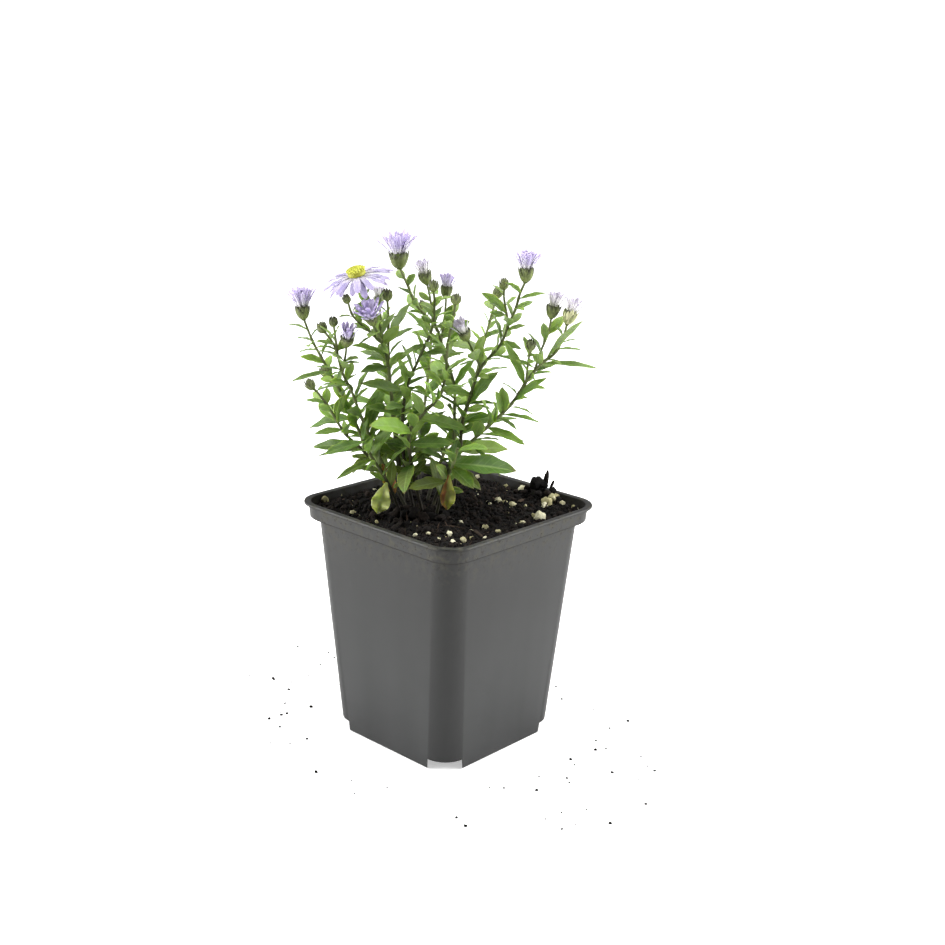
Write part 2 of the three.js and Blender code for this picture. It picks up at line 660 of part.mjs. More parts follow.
// One stalk with its head: its pieces go to the stem's node, its guard points to the list
function growStalk(stem, way, head, section) {
  const path = walk(way);
  stem.pieces.push(tube(path, section));
  guard(stem.name, finely(path), STALK_CLEARANCE);
  if (!head) return path;
  const green = head.kind === 'bud' ? bud(head.radius, head.length) : cup(head.radius, head.length);
  stem.pieces.push(placeHead(green, path, head));
  const axis = headAxis(path, head);
  const tip = path[path.length - 1];
  const along = (height) => tip.clone().addScaledVector(axis, height);
  const full = head.length + (head.reach ?? 0);
  const points = [];
  for (let height = 0; height <= full; height += 1.5) points.push(along(height));
  for (let i = 0; i < 12 && head.kind === 'flower'; i++) {
    const out = vec(Math.cos(rad(30 * i)), Math.sin(rad(30 * i)), 0);
    for (const r of [5, 10, 14]) points.push(along(head.length + 1).addScaledVector(out, r));
  }
  guard(`${stem.name}_head`, points, head.kind === 'bud' ? BUD_CLEARANCE : HEAD_CLEARANCE);
  stem.heads.push({ head, path });
  return path;
}

// The point of a stem's own curve that lies nearest to a given one
function onStem(stem, place) {
  const wanted = vec(...place);
  return finely(walk(stemPath(stem))).reduce((best, p) => (
    p.distanceToSquared(wanted) < best.distanceToSquared(wanted) ? p : best));
}

for (const stem of STEMS) {
  stem.pieces = [];
  stem.heads = [];
  growStalk(stem, stemPath(stem), stem.head, STEM_TUBE);
  for (const shoot of stem.shoots ?? []) {
    shoot.way[0] = onStem(stem, shoot.way[0]).toArray();
    growStalk(stem, shoot.way, shoot.head, SHOOT_TUBE);
  }
}

for (const { stem, root, tip, width } of STANDING_LEAVES) {
  const owner = STEMS.find((s) => s.name === stem);
  const leaf = leafTowards(onStem(owner, root), vec(...tip), width, STANDING_BEND);
  owner.pieces.push(leafSolid(leaf));
  guard(stem, leafSamples(leaf), LEAF_CLEARANCE, OWN_LEAF_CLEARANCE);
}

// Dry leaves that hang in front of a stem's foot, a gap away from it
const DRY_LEAVES = [
  {
    name: 'dry_leaf_yellow_green', stem: 'shoot_front_left', material: 'fading',
    root: [-24.5, -14, 112.5], tip: [-28, -17.5, 99.4], width: 7.5,
  },
  {
    name: 'dry_leaf_yellow_brown', stem: 'shoot_front_right', material: 'brown',
    root: [0.2, -17.5, 117], tip: [-0.3, -19, 102], width: 6,
  },
  {
    name: 'dry_leaf_brown', stem: 'stem_left_inner', material: 'brown',
    root: [-26, -4, 117], tip: [-21.5, -8, 105], width: 5.2,
  },
];

for (const dry of DRY_LEAVES) {
  const stem = STEMS.find((s) => s.name === dry.stem);
  const root = onStem(stem, dry.root);
  root.y -= STEM_TUBE.radii[0] + GAP + LEAF_THICKNESS / 2;
  const chord = vec(...dry.tip).sub(root);
  const along = chord.clone().normalize();
  const face = vec(0, -1, 0).addScaledVector(along, along.y).normalize();
  dry.leaf = { root, along, face, length: chord.length(), width: dry.width, bend: DRY_BEND };
  guard(dry.name, leafSamples(dry.leaf), DRY_LEAF_CLEARANCE);
}

// Leaves up a stalk: each a golden turn on from the last, smaller towards the top, and turned
// a little further where it would meet another stem's leaf
const TURN_TRIES = [0, 24, -24, 48, -48, 75, -75];

function growLeaves(stem, way, count, turn, { sizes, span }) {
  const path = finely(walk(way));
  const last = path.length - 1;
  for (let i = 0; i < count; i++) {
    const part = i / (count - 1);
    const at = Math.round(mix(span[0], span[1], part ** 1.15) * last);
    const tangent = tangentAt(path, at);
    const length = mix(sizes[1], sizes[0], (1 - part) ** 0.6) * draw(0.85, 1.15);
    const lift = rad(mix(76, 40, part) + draw(-12, 12));
    const roll = rad(draw(-38, 38));
    const start = turn + GOLDEN_TURN * i + draw(-14, 14);
    const bend = draw(20, 46);
    const width = length * draw(0.27, 0.34);
    for (const shrink of [1, 0.72]) {
      const leaf = TURN_TRIES.map((extra) => {
        const angle = rad(start + extra);
        const out = vec(Math.cos(angle), Math.sin(angle), 0);
        out.addScaledVector(tangent, -out.dot(tangent)).normalize();
        const along = out.clone().multiplyScalar(Math.sin(lift));
        along.addScaledVector(tangent, Math.cos(lift));
        const face = tangent.clone().multiplyScalar(Math.sin(lift));
        face.addScaledVector(out, -Math.cos(lift)).applyAxisAngle(along, roll);
        const root = path[at].clone().addScaledVector(out, 0.2);
        return { root, along, face, length: length * shrink, width: width * shrink, bend };
      }).find((tried) => isClear(stem.name, leafSamples(tried)));
      if (leaf) {
        stem.pieces.push(leafSolid(leaf));
        guard(stem.name, leafSamples(leaf), LEAF_CLEARANCE, OWN_LEAF_CLEARANCE);
        break;
      }
    }
  }
}

for (const stem of STEMS) {
  const kind = stem.head ? STEM_LEAVES : YOUNG_LEAVES;
  growLeaves(stem, stemPath(stem), stem.leaves, stem.turn, kind);
  for (const [k, shoot] of (stem.shoots ?? []).entries()) {
    growLeaves(stem, shoot.way, SHOOT_LEAF_COUNT, stem.turn + 90 + 70 * k, SHOOT_LEAVES);
  }
}

// Soil: the root ball that fills the pot, with a crumbly top and a hole for each stem

const SOIL_RINGS = [0.93, 0.76, 0.58, 0.4, 0.2];

// The heap of crumbs at one side of the crown, placed in the plant's frame
const HEAP = { x: 38, y: 17, height: 6, spread: 50 };

function soilHeight(x, y, crumbs) {
  const turn = rad(-PLANT_TURN);
  const across = x * Math.cos(turn) - y * Math.sin(turn);
  const away = x * Math.sin(turn) + y * Math.cos(turn);
  const heap = HEAP.height * Math.exp(-((across - HEAP.x) ** 2 + (away - HEAP.y) ** 2) / HEAP.spread);
  return SOIL_TOP + heap + crumbs(-SOIL_ROUGHNESS, SOIL_ROUGHNESS);
}

function soilGeometry() {
  const crumbs = seeded(77);
  const edge = (z) => roundedSquare(BORE_HALF - SOIL_MARGIN, CORNER - SOIL_MARGIN, z);
  const top = SOIL_RINGS.map((share) => edge(SOIL_EDGE).map((p) => {
    const x = p.x * share;
    const y = p.y * share;
    return vec(x, y, soilHeight(x, y, crumbs));
  }));
  const rings = [edge(SOIL_EDGE - 0.2), edge(SOIL_EDGE), ...top, [vec(0, 0, SOIL_TOP)]];
  let solid = cavity(WALL + GAP, GAP, rings);
  for (const stem of STEMS) {
    const depth = ROOT_DEPTH + GAP;
    const radius = STEM_TUBE.radii[0] + HOLE_PLAY;
    const hole = new THREE.CylinderGeometry(radius, radius, 2 * depth, 6);
    hole.rotateX(rad(90));
    const [x, y] = stem.root;
    const place = vec(x, y, SOIL_TOP).applyAxisAngle(UP, rad(PLANT_TURN));
    hole.translate(place.x, place.y, place.z);
    solid = solid.subtract(toSolid(hole));
  }
  return toGeometry(solid);
}

// The object

const object = new THREE.Group();
addNode(object, 'pot', potGeometry(), 'pot');
addNode(object, 'soil', soilGeometry(), 'soil');

const plant = new THREE.Group();
plant.rotation.z = rad(PLANT_TURN);
object.add(plant);

for (const stem of STEMS) {
  addNode(plant, stem.name, toGeometry(join(stem.pieces)), 'green');
}

for (const stem of STEMS) {
  for (const [k, { head, path }] of stem.heads.entries()) {
    if (head.kind === 'bud') continue;
    const blades = toGeometry(rays(head, draw));
    const petals = addNode(plant, `rays_${stem.name}_${k + 1}`, blades, head.color ?? 'lilac');
    petals.quaternion.setFromUnitVectors(UP, headAxis(path, head));
    petals.position.copy(path[path.length - 1]);
    if (head.kind !== 'flower') continue;
    const dome = disc(head.radius * 1.2, DISC_HEIGHT);
    const middle = addNode(petals, `disc_${stem.name}`, dome, 'yellow');
    middle.position.z = head.length + FLOWER_SEAT + 2 * RAY_THICKNESS + GAP;
  }
}

for (const dry of DRY_LEAVES) {
  const { root, along, face, length, width, bend } = dry.leaf;
  const geometry = blade(root, along, face, length, width, bend, LEAF_THICKNESS, LEAF_OUTLINE);
  addNode(plant, dry.name, geometry, dry.material);
}

export default object;
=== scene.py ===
"""A small potted aster in flower, in a square nursery pot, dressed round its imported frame."""
import math

import bpy
import numpy as np
from mathutils import Matrix, Vector, noise


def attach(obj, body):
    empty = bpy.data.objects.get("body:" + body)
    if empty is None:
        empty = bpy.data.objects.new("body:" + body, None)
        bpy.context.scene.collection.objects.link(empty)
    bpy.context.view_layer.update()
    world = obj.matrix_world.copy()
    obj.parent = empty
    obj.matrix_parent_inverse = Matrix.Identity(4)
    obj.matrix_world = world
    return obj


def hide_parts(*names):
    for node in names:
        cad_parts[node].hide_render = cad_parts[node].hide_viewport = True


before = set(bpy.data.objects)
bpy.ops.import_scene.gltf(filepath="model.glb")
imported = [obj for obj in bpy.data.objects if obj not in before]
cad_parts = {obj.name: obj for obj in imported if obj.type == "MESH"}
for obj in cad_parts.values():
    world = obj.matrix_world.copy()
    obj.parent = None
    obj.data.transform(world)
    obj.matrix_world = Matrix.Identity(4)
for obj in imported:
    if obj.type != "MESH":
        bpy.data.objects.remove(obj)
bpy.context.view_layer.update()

# The view. The photograph looks at the pot's front corner from a little above, through a long
# lens, and its frame is square.
VIEW_AZIMUTH = math.radians(42.93)
VIEW_ELEVATION = math.radians(16.58)
VIEW_ROLL = math.radians(1.5)
VIEW_DISTANCE = 0.5854
VIEW_HEIGHT = 0.1125
VIEW_SHIFT = 0.0094
LENS_MM = 55.03
SENSOR_MM = 36

toward_view = Vector((math.sin(VIEW_AZIMUTH) * math.cos(VIEW_ELEVATION),
                      -math.cos(VIEW_AZIMUTH) * math.cos(VIEW_ELEVATION), math.sin(VIEW_ELEVATION)))
view_right = Vector((math.cos(VIEW_AZIMUTH), math.sin(VIEW_AZIMUTH), 0))
view_up = toward_view.cross(view_right)


def make_camera():
    """A camera at the photograph's place, rolled as the photograph is."""
    camera = bpy.data.objects.new("camera", bpy.data.cameras.new("camera"))
    camera.data.lens = LENS_MM
    camera.data.sensor_width = SENSOR_MM
    right = view_right * math.cos(VIEW_ROLL) + view_up * math.sin(VIEW_ROLL)
    up = view_up * math.cos(VIEW_ROLL) - view_right * math.sin(VIEW_ROLL)
    place_at = view_right * VIEW_SHIFT + toward_view * VIEW_DISTANCE
    place_at.z += VIEW_HEIGHT
    turn = Matrix((right, up, toward_view)).transposed().to_4x4()
    camera.matrix_world = Matrix.Translation(place_at) @ turn
    bpy.context.scene.collection.objects.link(camera)
    bpy.context.scene.camera = camera


make_camera()


# Floor and studio light. A pale table top runs on into a white background. Two tall soft boxes
# stand at the sides, so that the pot's two faces are bright and its front corner is darker, and a
# third hangs overhead. The pot's finish adds painted shade on its corners. The room is dark in
# front, and white only as a background.
FLOOR_RADIUS = 4.0
FLOOR_SIDES = 64
FLOOR_PLAIN = 0.1
FLOOR_WHITE = 0.3
FLOOR_GLOW = 0.48
SIDE_BOX = {"size": 0.7, "power": 13.0}
SIDE_BOX_AWAY = 0.85
SIDE_BOX_AHEAD = 0.05
SIDE_BOX_HEIGHT = 0.45
TOP_BOX = {"size": 0.5, "power": 9.0}
TOP_BOX_HEIGHT = 1.1
TOP_BOX_BEHIND = 0.1
SKY_LIGHT = 0.4
SKY_FRONT = 0.12
SKY_SEEN = 1.05


class Field:
    """A node's output that can be reckoned with: each step places its own Math node."""

    def __init__(self, socket):
        self.socket = socket

    def step(self, operation, *others):
        tree = self.socket.id_data
        if self.socket.type not in ("VECTOR", "RGBA"):
            return field(tree, "ShaderNodeMath", (self, *others), operation=operation)
        if operation == "MULTIPLY":
            values = {"Vector": self, "Scale": others[0]}
            return field(tree, "ShaderNodeVectorMath", values, operation="SCALE")
        return field(tree, "ShaderNodeVectorMath", (self, *others), operation=operation)

    def __add__(self, other):
        return self.step("ADD", other)

    def __sub__(self, other):
        return self.step("SUBTRACT", other)

    def __rsub__(self, other):
        return self * -1.0 + other

    def __mul__(self, other):
        return self.step("MULTIPLY", other)

    def __truediv__(self, other):
        return self.step("DIVIDE", other)

    def size(self):
        return self.step("ABSOLUTE")

    def sine(self):
        return self.step("SINE")

    def cosine(self):
        return self.step("COSINE")


def place(tree, kind, values=(), **settings):
    """Adds a node, its inputs given by name or in order as plain values or as fields."""
    node = tree.nodes.new(kind)
    for name, value in settings.items():
        setattr(node, name, value)
    for key, value in values.items() if isinstance(values, dict) else enumerate(values):
        if isinstance(value, Field):
            tree.links.new(value.socket, node.inputs[key])
        else:
            node.inputs[key].default_value = value
    return node


def field(tree, kind, values=(), output=0, **settings):
    """Adds a node and gives one of its outputs."""
    return Field(place(tree, kind, values, **settings).outputs[output])


def blend(tree, factor, low, high):
    """A mix of two colours, each a field or three plain shares."""
    low, high = (color if isinstance(color, Field) else (*color, 1) for color in (low, high))
    return field(tree, "ShaderNodeMix", {0: factor, 6: low, 7: high}, output=2, data_type="RGBA")


def ramp(tree, value, start, end):
    """Rises smoothly from 0 where the value is start to 1 where it is end."""
    values = {"Value": value, 1: start, 2: end}
    return field(tree, "ShaderNodeMapRange", values, interpolation_type="SMOOTHSTEP")


def tree_of(kind, name, inputs, outputs):
    """An empty tree of a kind, with its named sockets, and what goes in and out of it."""
    tree = bpy.data.node_groups.new(name, kind)
    for way, sockets in (("INPUT", inputs), ("OUTPUT", outputs)):
        for label, socket in sockets.items():
            tree.interface.new_socket(label, in_out=way, socket_type="NodeSocket" + socket)
    sockets = tree.nodes.new("NodeGroupInput").outputs
    given = {socket.name: Field(socket) for socket in sockets if socket.name}
    return tree, given, tree.nodes.new("NodeGroupOutput").inputs


def cloud_group():
    """Cloudy noise from 0 to 1, over a place that may be stretched along an axis."""
    tree, given, out = tree_of("ShaderNodeTree", "cloudy_noise", {
        "Place": "Vector", "Stretch": "Vector", "Scale": "Float"}, {"Cloud": "Float"})
    stretched = field(tree, "ShaderNodeVectorMath", (given["Place"], given["Stretch"]),
                      operation="MULTIPLY")
    cloud = {"Vector": stretched, "Scale": given["Scale"], "Detail": 3.5}
    wire(tree, field(tree, "ShaderNodeTexNoise", cloud), out["Cloud"])
    return tree


def mottle(tree, where, scale, stretch=(1, 1, 1)):
    """The cloudy noise at a scale, placed in a material."""
    values = {"Place": where, "Stretch": stretch, "Scale": scale}
    return field(tree, "ShaderNodeGroup", values, node_tree=cloudy_noise)


def own_place(tree):
    """The surface's own coordinates, in metres."""
    return field(tree, "ShaderNodeTexCoord", output=3)


def on_axis(tree, where, axis):
    """A place's coordinate on X, Y or Z."""
    return field(tree, "ShaderNodeSeparateXYZ", (where,), output="XYZ".index(axis))


def new_material(name):
    """A material with its tree and its shader's inputs."""
    material = bpy.data.materials.new(name)
    material.use_nodes = True
    return material, material.node_tree, material.node_tree.nodes["Principled BSDF"].inputs


def wire(tree, value, socket):
    tree.links.new(value.socket, socket)


def bump(tree, shader, height, strength, distance):
    values = {"Height": height, "Strength": strength, "Distance": distance}
    wire(tree, field(tree, "ShaderNodeBump", values), shader["Normal"])


def coat(tree, shader, color, roughness, specular=0.5):
    """Gives a material its colour, its roughness, which may be a field, and its shine."""
    wire(tree, color, shader["Base Color"])
    if isinstance(roughness, Field):
        wire(tree, roughness, shader["Roughness"])
    else:
        shader["Roughness"].default_value = roughness
    shader["Specular IOR Level"].default_value = specular


def table_top_finish():
    material, tree, shader = new_material("table_top")
    where = own_place(tree)
    pale = blend(tree, mottle(tree, where, 9.0), (0.86, 0.86, 0.85), (0.92, 0.92, 0.92))
    away = field(tree, "ShaderNodeVectorMath", (where,), output=1, operation="LENGTH")
    coat(tree, shader, pale, 0.9, specular=0.0)
    white = ramp(tree, away, FLOOR_PLAIN, FLOOR_WHITE) * (1 - FLOOR_GLOW) + FLOOR_GLOW
    white = white * field(tree, "ShaderNodeLightPath")
    wire(tree, blend(tree, white, (0, 0, 0), (1, 1, 1)), shader["Emission Color"])
    shader["Emission Strength"].default_value = 1.0
    return material


def circle(radius, sides, z=0, middle=(0, 0)):
    """Points of a level circle."""
    angles = [2 * math.pi * k / sides for k in range(sides)]
    return [(middle[0] + radius * math.cos(a), middle[1] + radius * math.sin(a), z) for a in angles]


def make_floor():
    mesh = bpy.data.meshes.new("floor")
    mesh.from_pydata(circle(FLOOR_RADIUS, FLOOR_SIDES), [], [list(range(FLOOR_SIDES))])
    mesh.materials.append(table_top_finish())
    floor = bpy.data.objects.new("floor", mesh)
    bpy.context.scene.collection.objects.link(floor)


def add_soft_box(name, place_at, aim, size, power):
    lamp = bpy.data.lights.new(name, "AREA")
    lamp.size = size
    lamp.energy = power
    box = bpy.data.objects.new(name, lamp)
    box.location = place_at
    box.rotation_mode = "QUATERNION"
    box.rotation_quaternion = (aim - place_at).to_track_quat("-Z", "Y")
    bpy.context.scene.collection.objects.link(box)


def light_studio():
    middle = Vector((0, 0, 0.1))
    level = Vector((math.sin(VIEW_AZIMUTH), -math.cos(VIEW_AZIMUTH), 0))
    ahead = level * SIDE_BOX_AHEAD + Vector((0, 0, SIDE_BOX_HEIGHT))
    add_soft_box("box_left", view_right * -SIDE_BOX_AWAY + ahead, middle, **SIDE_BOX)
    add_soft_box("box_right", view_right * SIDE_BOX_AWAY + ahead, middle, **SIDE_BOX)
    above = Vector((0, 0, TOP_BOX_HEIGHT)) - level * TOP_BOX_BEHIND
    add_soft_box("box_top", above, middle, **TOP_BOX)
    world = bpy.data.worlds.new("studio")
    bpy.context.scene.world = world
    world.use_nodes = True
    tree = world.node_tree
    sky = tree.nodes["Background"].inputs
    sky["Color"].default_value = (1, 1, 1, 1)
    way = field(tree, "ShaderNodeTexCoord", output=0)
    forward = field(tree, "ShaderNodeVectorMath", (way, tuple(level)), output=1,
                    operation="DOT_PRODUCT")
    light = ramp(tree, forward, 0.1, 0.8) * (SKY_FRONT - SKY_LIGHT) + SKY_LIGHT
    seen = field(tree, "ShaderNodeLightPath")
    wire(tree, light * (seen * -1.0 + 1.0) + seen * SKY_SEEN, sky["Strength"])
    bpy.context.scene.view_settings.view_transform = "Standard"


cloudy_noise = cloud_group()
make_floor()
light_studio()


# Pot. One thin shell of dark grey plastic, moulded with a taper so that pots stack. A stepped
# collar and a lip stiffen its mouth, and each bottom corner is cut away as a notch with a drain
# hole in its ceiling.
MM = 0.001
POT_HEIGHT = 100
POT_MOUTH = 90
POT_SHOULDER = 80
POT_FOOT = 66
WALL = 1
CORNER = 10
SHOULDER_Z = 93
LIP_Z = 98.8
LIP_REACH = 1.5
NOTCH_HEIGHT = 4.5
NOTCH_WIDTH = 14
NOTCH_DEPTH = 12
DRAIN_RADIUS = 2.5
DRAIN_SIDES = 24
DRAIN_SHIFT = 2
GAP = 0.3
ARC_STEPS = 12
CORNER_SHADE = 0.74
MOUTH_HALF = POT_MOUTH / 2
COLLAR_HALF = MOUTH_HALF - LIP_REACH
BORE_HALF = COLLAR_HALF - 1.1 * WALL


def body_half(z):
    return POT_FOOT / 2 + (POT_SHOULDER - POT_FOOT) / 2 * z / SHOULDER_Z


def rounded_square(half, radius, z):
    """A square's outline with round corners, counter-clockwise from above, in millimetres."""
    points = []
    reach = (half - radius) * math.sqrt(2)
    for corner in range(4):
        middle = math.radians(45 + 90 * corner)
        for step in range(ARC_STEPS + 1):
            angle = math.radians(90 * corner + 90 * step / ARC_STEPS)
            points.append((reach * math.cos(middle) + radius * math.cos(angle),
                           reach * math.sin(middle) + radius * math.sin(angle), z))
    return points


def loft(rings):
    """Points and faces of a closed skin over rings of like count; the end rings may be one point."""
    points, faces, starts = [], [], []
    for ring in rings:
        starts.append(len(points))
        points += ring
    for k in range(len(rings) - 1):
        count = max(len(rings[k]), len(rings[k + 1]))
        for i in range(count):
            j = (i + 1) % count
            low, high = starts[k], starts[k + 1]
            if len(rings[k]) == 1:
                faces.append((low, high + j, high + i))
            elif len(rings[k + 1]) == 1:
                faces.append((low + i, low + j, high))
            else:
                faces.append((low + i, low + j, high + j, high + i))
    return points, faces


def new_object(name, points, faces=()):
    """An object in the scene, from points in millimetres."""
    mesh = bpy.data.meshes.new(name)
    mesh.from_pydata([tuple(MM * value for value in point) for point in points], [], list(faces))
    made = bpy.data.objects.new(name, mesh)
    bpy.context.scene.collection.objects.link(made)
    return made


def prism(name, outline, low, high):
    """A closed upright solid over one outline."""
    points, faces = loft([[(x, y, z) for x, y, _ in outline] for z in (low, high)])
    count = len(outline)
    caps = [tuple(range(count - 1, -1, -1)), tuple(range(count, 2 * count))]
    return new_object(name, points, faces + caps)


def corner_box(corner, width, depth, top):
    """A box at one bottom corner, its long side along the diagonal."""
    tip = (body_half(0) - CORNER) * math.sqrt(2) + CORNER
    turn = math.radians(45 + 90 * corner)
    outline = []
    for x, y in ((-1, -1), (1, -1), (1, 1), (-1, 1)):
        across, along = tip + depth * x, width / 2 * y
        outline.append((across * math.cos(turn) - along * math.sin(turn),
                        across * math.sin(turn) + along * math.cos(turn), 0))
    return prism("corner_box", outline, -top, top)


def drain_rod(corner):
    turn = math.radians(45 + 90 * corner)
    reach = (body_half(0) - CORNER) * math.sqrt(2) + DRAIN_SHIFT
    outline = circle(DRAIN_RADIUS, DRAIN_SIDES, middle=(reach * math.cos(turn), reach * math.sin(turn)))
    return prism("drain_rod", outline, NOTCH_HEIGHT - 3 * WALL, NOTCH_HEIGHT + 4 * WALL)


def settle(piece):
    """Turns what a piece's modifiers make into its plain mesh."""
    graph = bpy.context.evaluated_depsgraph_get()
    mesh = bpy.data.meshes.new_from_object(piece.evaluated_get(graph))
    piece.modifiers.clear()
    piece.data = mesh


def carve(piece, tools):
    """Cuts the tools out of a piece and drops them."""
    for tool in tools:
        cut = piece.modifiers.new("cut", "BOOLEAN")
        cut.object = tool
        cut.solver = "EXACT"
    settle(piece)
    for tool in tools:
        bpy.data.objects.remove(tool)


def cavity(floor, inset, rings):
    """The pot's inside from a floor up, moved in by an inset."""
    step = SHOULDER_Z + WALL + inset
    low = rounded_square(body_half(floor) - WALL - inset, CORNER - WALL - inset, floor)
    high = rounded_square(body_half(step) - WALL - inset, CORNER - WALL - inset, step)
    points, faces = loft([[(0, 0, floor)], low, high, *rings])
    inside = new_object("cavity", points, faces)
    skin = WALL + inset
    notch = (NOTCH_WIDTH + 2 * skin, NOTCH_DEPTH + skin, NOTCH_HEIGHT + skin)
    carve(inside, [corner_box(corner, *notch) for corner in range(4)])
    return inside


def shade(piece, material, angle=35):
    """Gives a piece its finish, smooth but for edges sharper than an angle in degrees."""
    piece.data.materials.clear()
    piece.data.materials.append(material)
    piece.data.shade_smooth()
    piece.data.set_sharp_from_angle(angle=math.radians(angle))


def pot_plastic():
    """Dull dark grey plastic: soft upright flow streaks, fine scuffs and soil dust on the rim, with
    painted shade on its moulded corners and its upper part, and its inward-facing inside darker in
    cloudy patches."""
    material, tree, shader = new_material("pot_plastic")
    where = own_place(tree)
    x, y, height = (on_axis(tree, where, axis) for axis in "XYZ")
    streaks = mottle(tree, where, 60.0, (1, 1, 0.05))
    cloud = mottle(tree, where, 22.0)
    tone = ramp(tree, streaks * 0.5 + cloud * 0.5, 0.3, 0.7)
    plastic = blend(tree, tone, (0.031, 0.032, 0.032), (0.039, 0.04, 0.04))
    # Painted shade: the rounded corners are darkened, standing in for the shade that falls across them.
    nearer = field(tree, "ShaderNodeMath", (x.size(), y.size()), operation="MINIMUM")
    arc = MM * (body_half(0) - CORNER)
    past = nearer - height * (POT_SHOULDER - POT_FOOT) / (2 * SHOULDER_Z) - arc
    corner = ramp(tree, past, -0.0006, 0.0012)
    plastic = blend(tree, corner * CORNER_SHADE, plastic, (0.012, 0.012, 0.012))
    # Painted shade: the pot is darkened towards its top, collar and lip included.
    upper = ramp(tree, height, 0.02, 0.085)
    plastic = blend(tree, upper * 0.76, plastic, (0.02, 0.02, 0.019))
    rim = ramp(tree, height + cloud * 0.016, 0.084, 0.106)
    dust = ramp(tree, mottle(tree, where, 330.0), 0.42, 0.72)
    plastic = blend(tree, dust * rim * 0.6, plastic, (0.075, 0.07, 0.05))
    specks = ramp(tree, mottle(tree, where, 800.0), 0.58, 0.66)
    plastic = blend(tree, specks * rim, plastic, (0.012, 0.01, 0.006))
    scuffs = ramp(tree, mottle(tree, where, 380.0, (1, 1, 0.3)), 0.68, 0.78)
    plastic = blend(tree, scuffs * 0.15, plastic, (0.1, 0.1, 0.1))
    # The inward-facing inside is darkened almost to black in cloudy patches.
    facing = field(tree, "ShaderNodeNewGeometry", output=1)
    outward = field(tree, "ShaderNodeVectorMath", (facing, where), output=1,
                    operation="DOT_PRODUCT")
    inward_dark = ramp(tree, outward, 0.0, -0.03) * ramp(tree, cloud + dust * 0.3, 0.2, 0.45)
    plastic = blend(tree, inward_dark * 0.9, plastic, (0.01, 0.008, 0.006))
    rough = tone * -0.06 + 0.46 + dust * rim * 0.3 + scuffs * 0.1 + inward_dark * 0.4
    coat(tree, shader, plastic, rough, 0.36)
    grain = mottle(tree, where, 2600.0)
    bump(tree, shader, grain + streaks * 0.4 + specks * rim, 0.2, 0.0001)
    return material


def dress(piece, slot, *nodes):
    """Makes a piece part of the object and hides the solids that it is shown for. Its slot is not used."""
    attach(piece, "root")
    if nodes:
        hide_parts(*nodes)


def make_pot():
    under = [(body_half(0) - 0.6, CORNER - 0.6, 0), (body_half(0) - 0.15, CORNER - 0.1, 0.2),
             (body_half(0.7), CORNER, 0.7), (body_half(92.4), CORNER, 92.4)]
    collar = [(body_half(93) + 0.4, CORNER + 0.3, 92.9), (COLLAR_HALF - 0.9, CORNER + 0.6, 93.15),
              (COLLAR_HALF - 0.5, CORNER + 0.7, 93.6), (COLLAR_HALF - 0.05, CORNER + 1, LIP_Z - 0.3)]
    lip = [(COLLAR_HALF + 0.3, CORNER + 1.2, LIP_Z), (MOUTH_HALF - 0.2, CORNER + 1.7, LIP_Z + 0.1),
           (MOUTH_HALF, CORNER + 1.8, LIP_Z + 0.35), (MOUTH_HALF, CORNER + 1.8, POT_HEIGHT - 0.35),
           (MOUTH_HALF - 0.12, CORNER + 1.7, POT_HEIGHT - 0.1), (MOUTH_HALF - 0.4, CORNER + 1.6, POT_HEIGHT)]
    outside = [rounded_square(*ring) for ring in under + collar + lip]
    points, faces = loft([[(0, 0, 0)], *outside, [(0, 0, POT_HEIGHT)]])
    pot = new_object("moulded_pot", points, faces)
    mouth = [(BORE_HALF - 0.6, CORNER - 0.3, 94.2), (BORE_HALF - 0.4, CORNER, 94.7),
             (BORE_HALF, CORNER, POT_HEIGHT - 0.5), (BORE_HALF + 0.12, CORNER, POT_HEIGHT - 0.15),
             *[(BORE_HALF + 0.5, CORNER + 0.3, POT_HEIGHT + rise) for rise in (0.02, 1)]]
    inside = cavity(WALL, 0, [*[rounded_square(*ring) for ring in mouth], [(0, 0, POT_HEIGHT + 1)]])
    notches = [corner_box(corner, NOTCH_WIDTH, NOTCH_DEPTH, NOTCH_HEIGHT) for corner in range(4)]
    carve(pot, [inside, *notches, *[drain_rod(corner) for corner in range(4)]])
    shade(pot, pot_plastic())
    dress(pot, "pot", "pot")


make_pot()


# Soil. The root ball that fills the pot: dark potting mix, dished a little at the rim, with a heap
# of loose crumbs at one side of the crown. Its top is strewn with crumbs, bark fibres and grains
# of pale perlite.
SOIL_TOP = 96.5
SOIL_EDGE = 95.4
SOIL_MARGIN = 0.8
SOIL_RINGS = 46
SOIL_REACH = 0.985
SOIL_CROWDING = 0.8
PLANT_TURN = math.radians(43)
HEAP = {"x": 38, "y": 17, "height": 5.6, "spread": 50}
# Lumps of the top: the layer of noise that each kind comes from, its scale and its height
SOIL_LUMPS = ((3, 0.14, 0.9), (9, 0.5, 0.5))

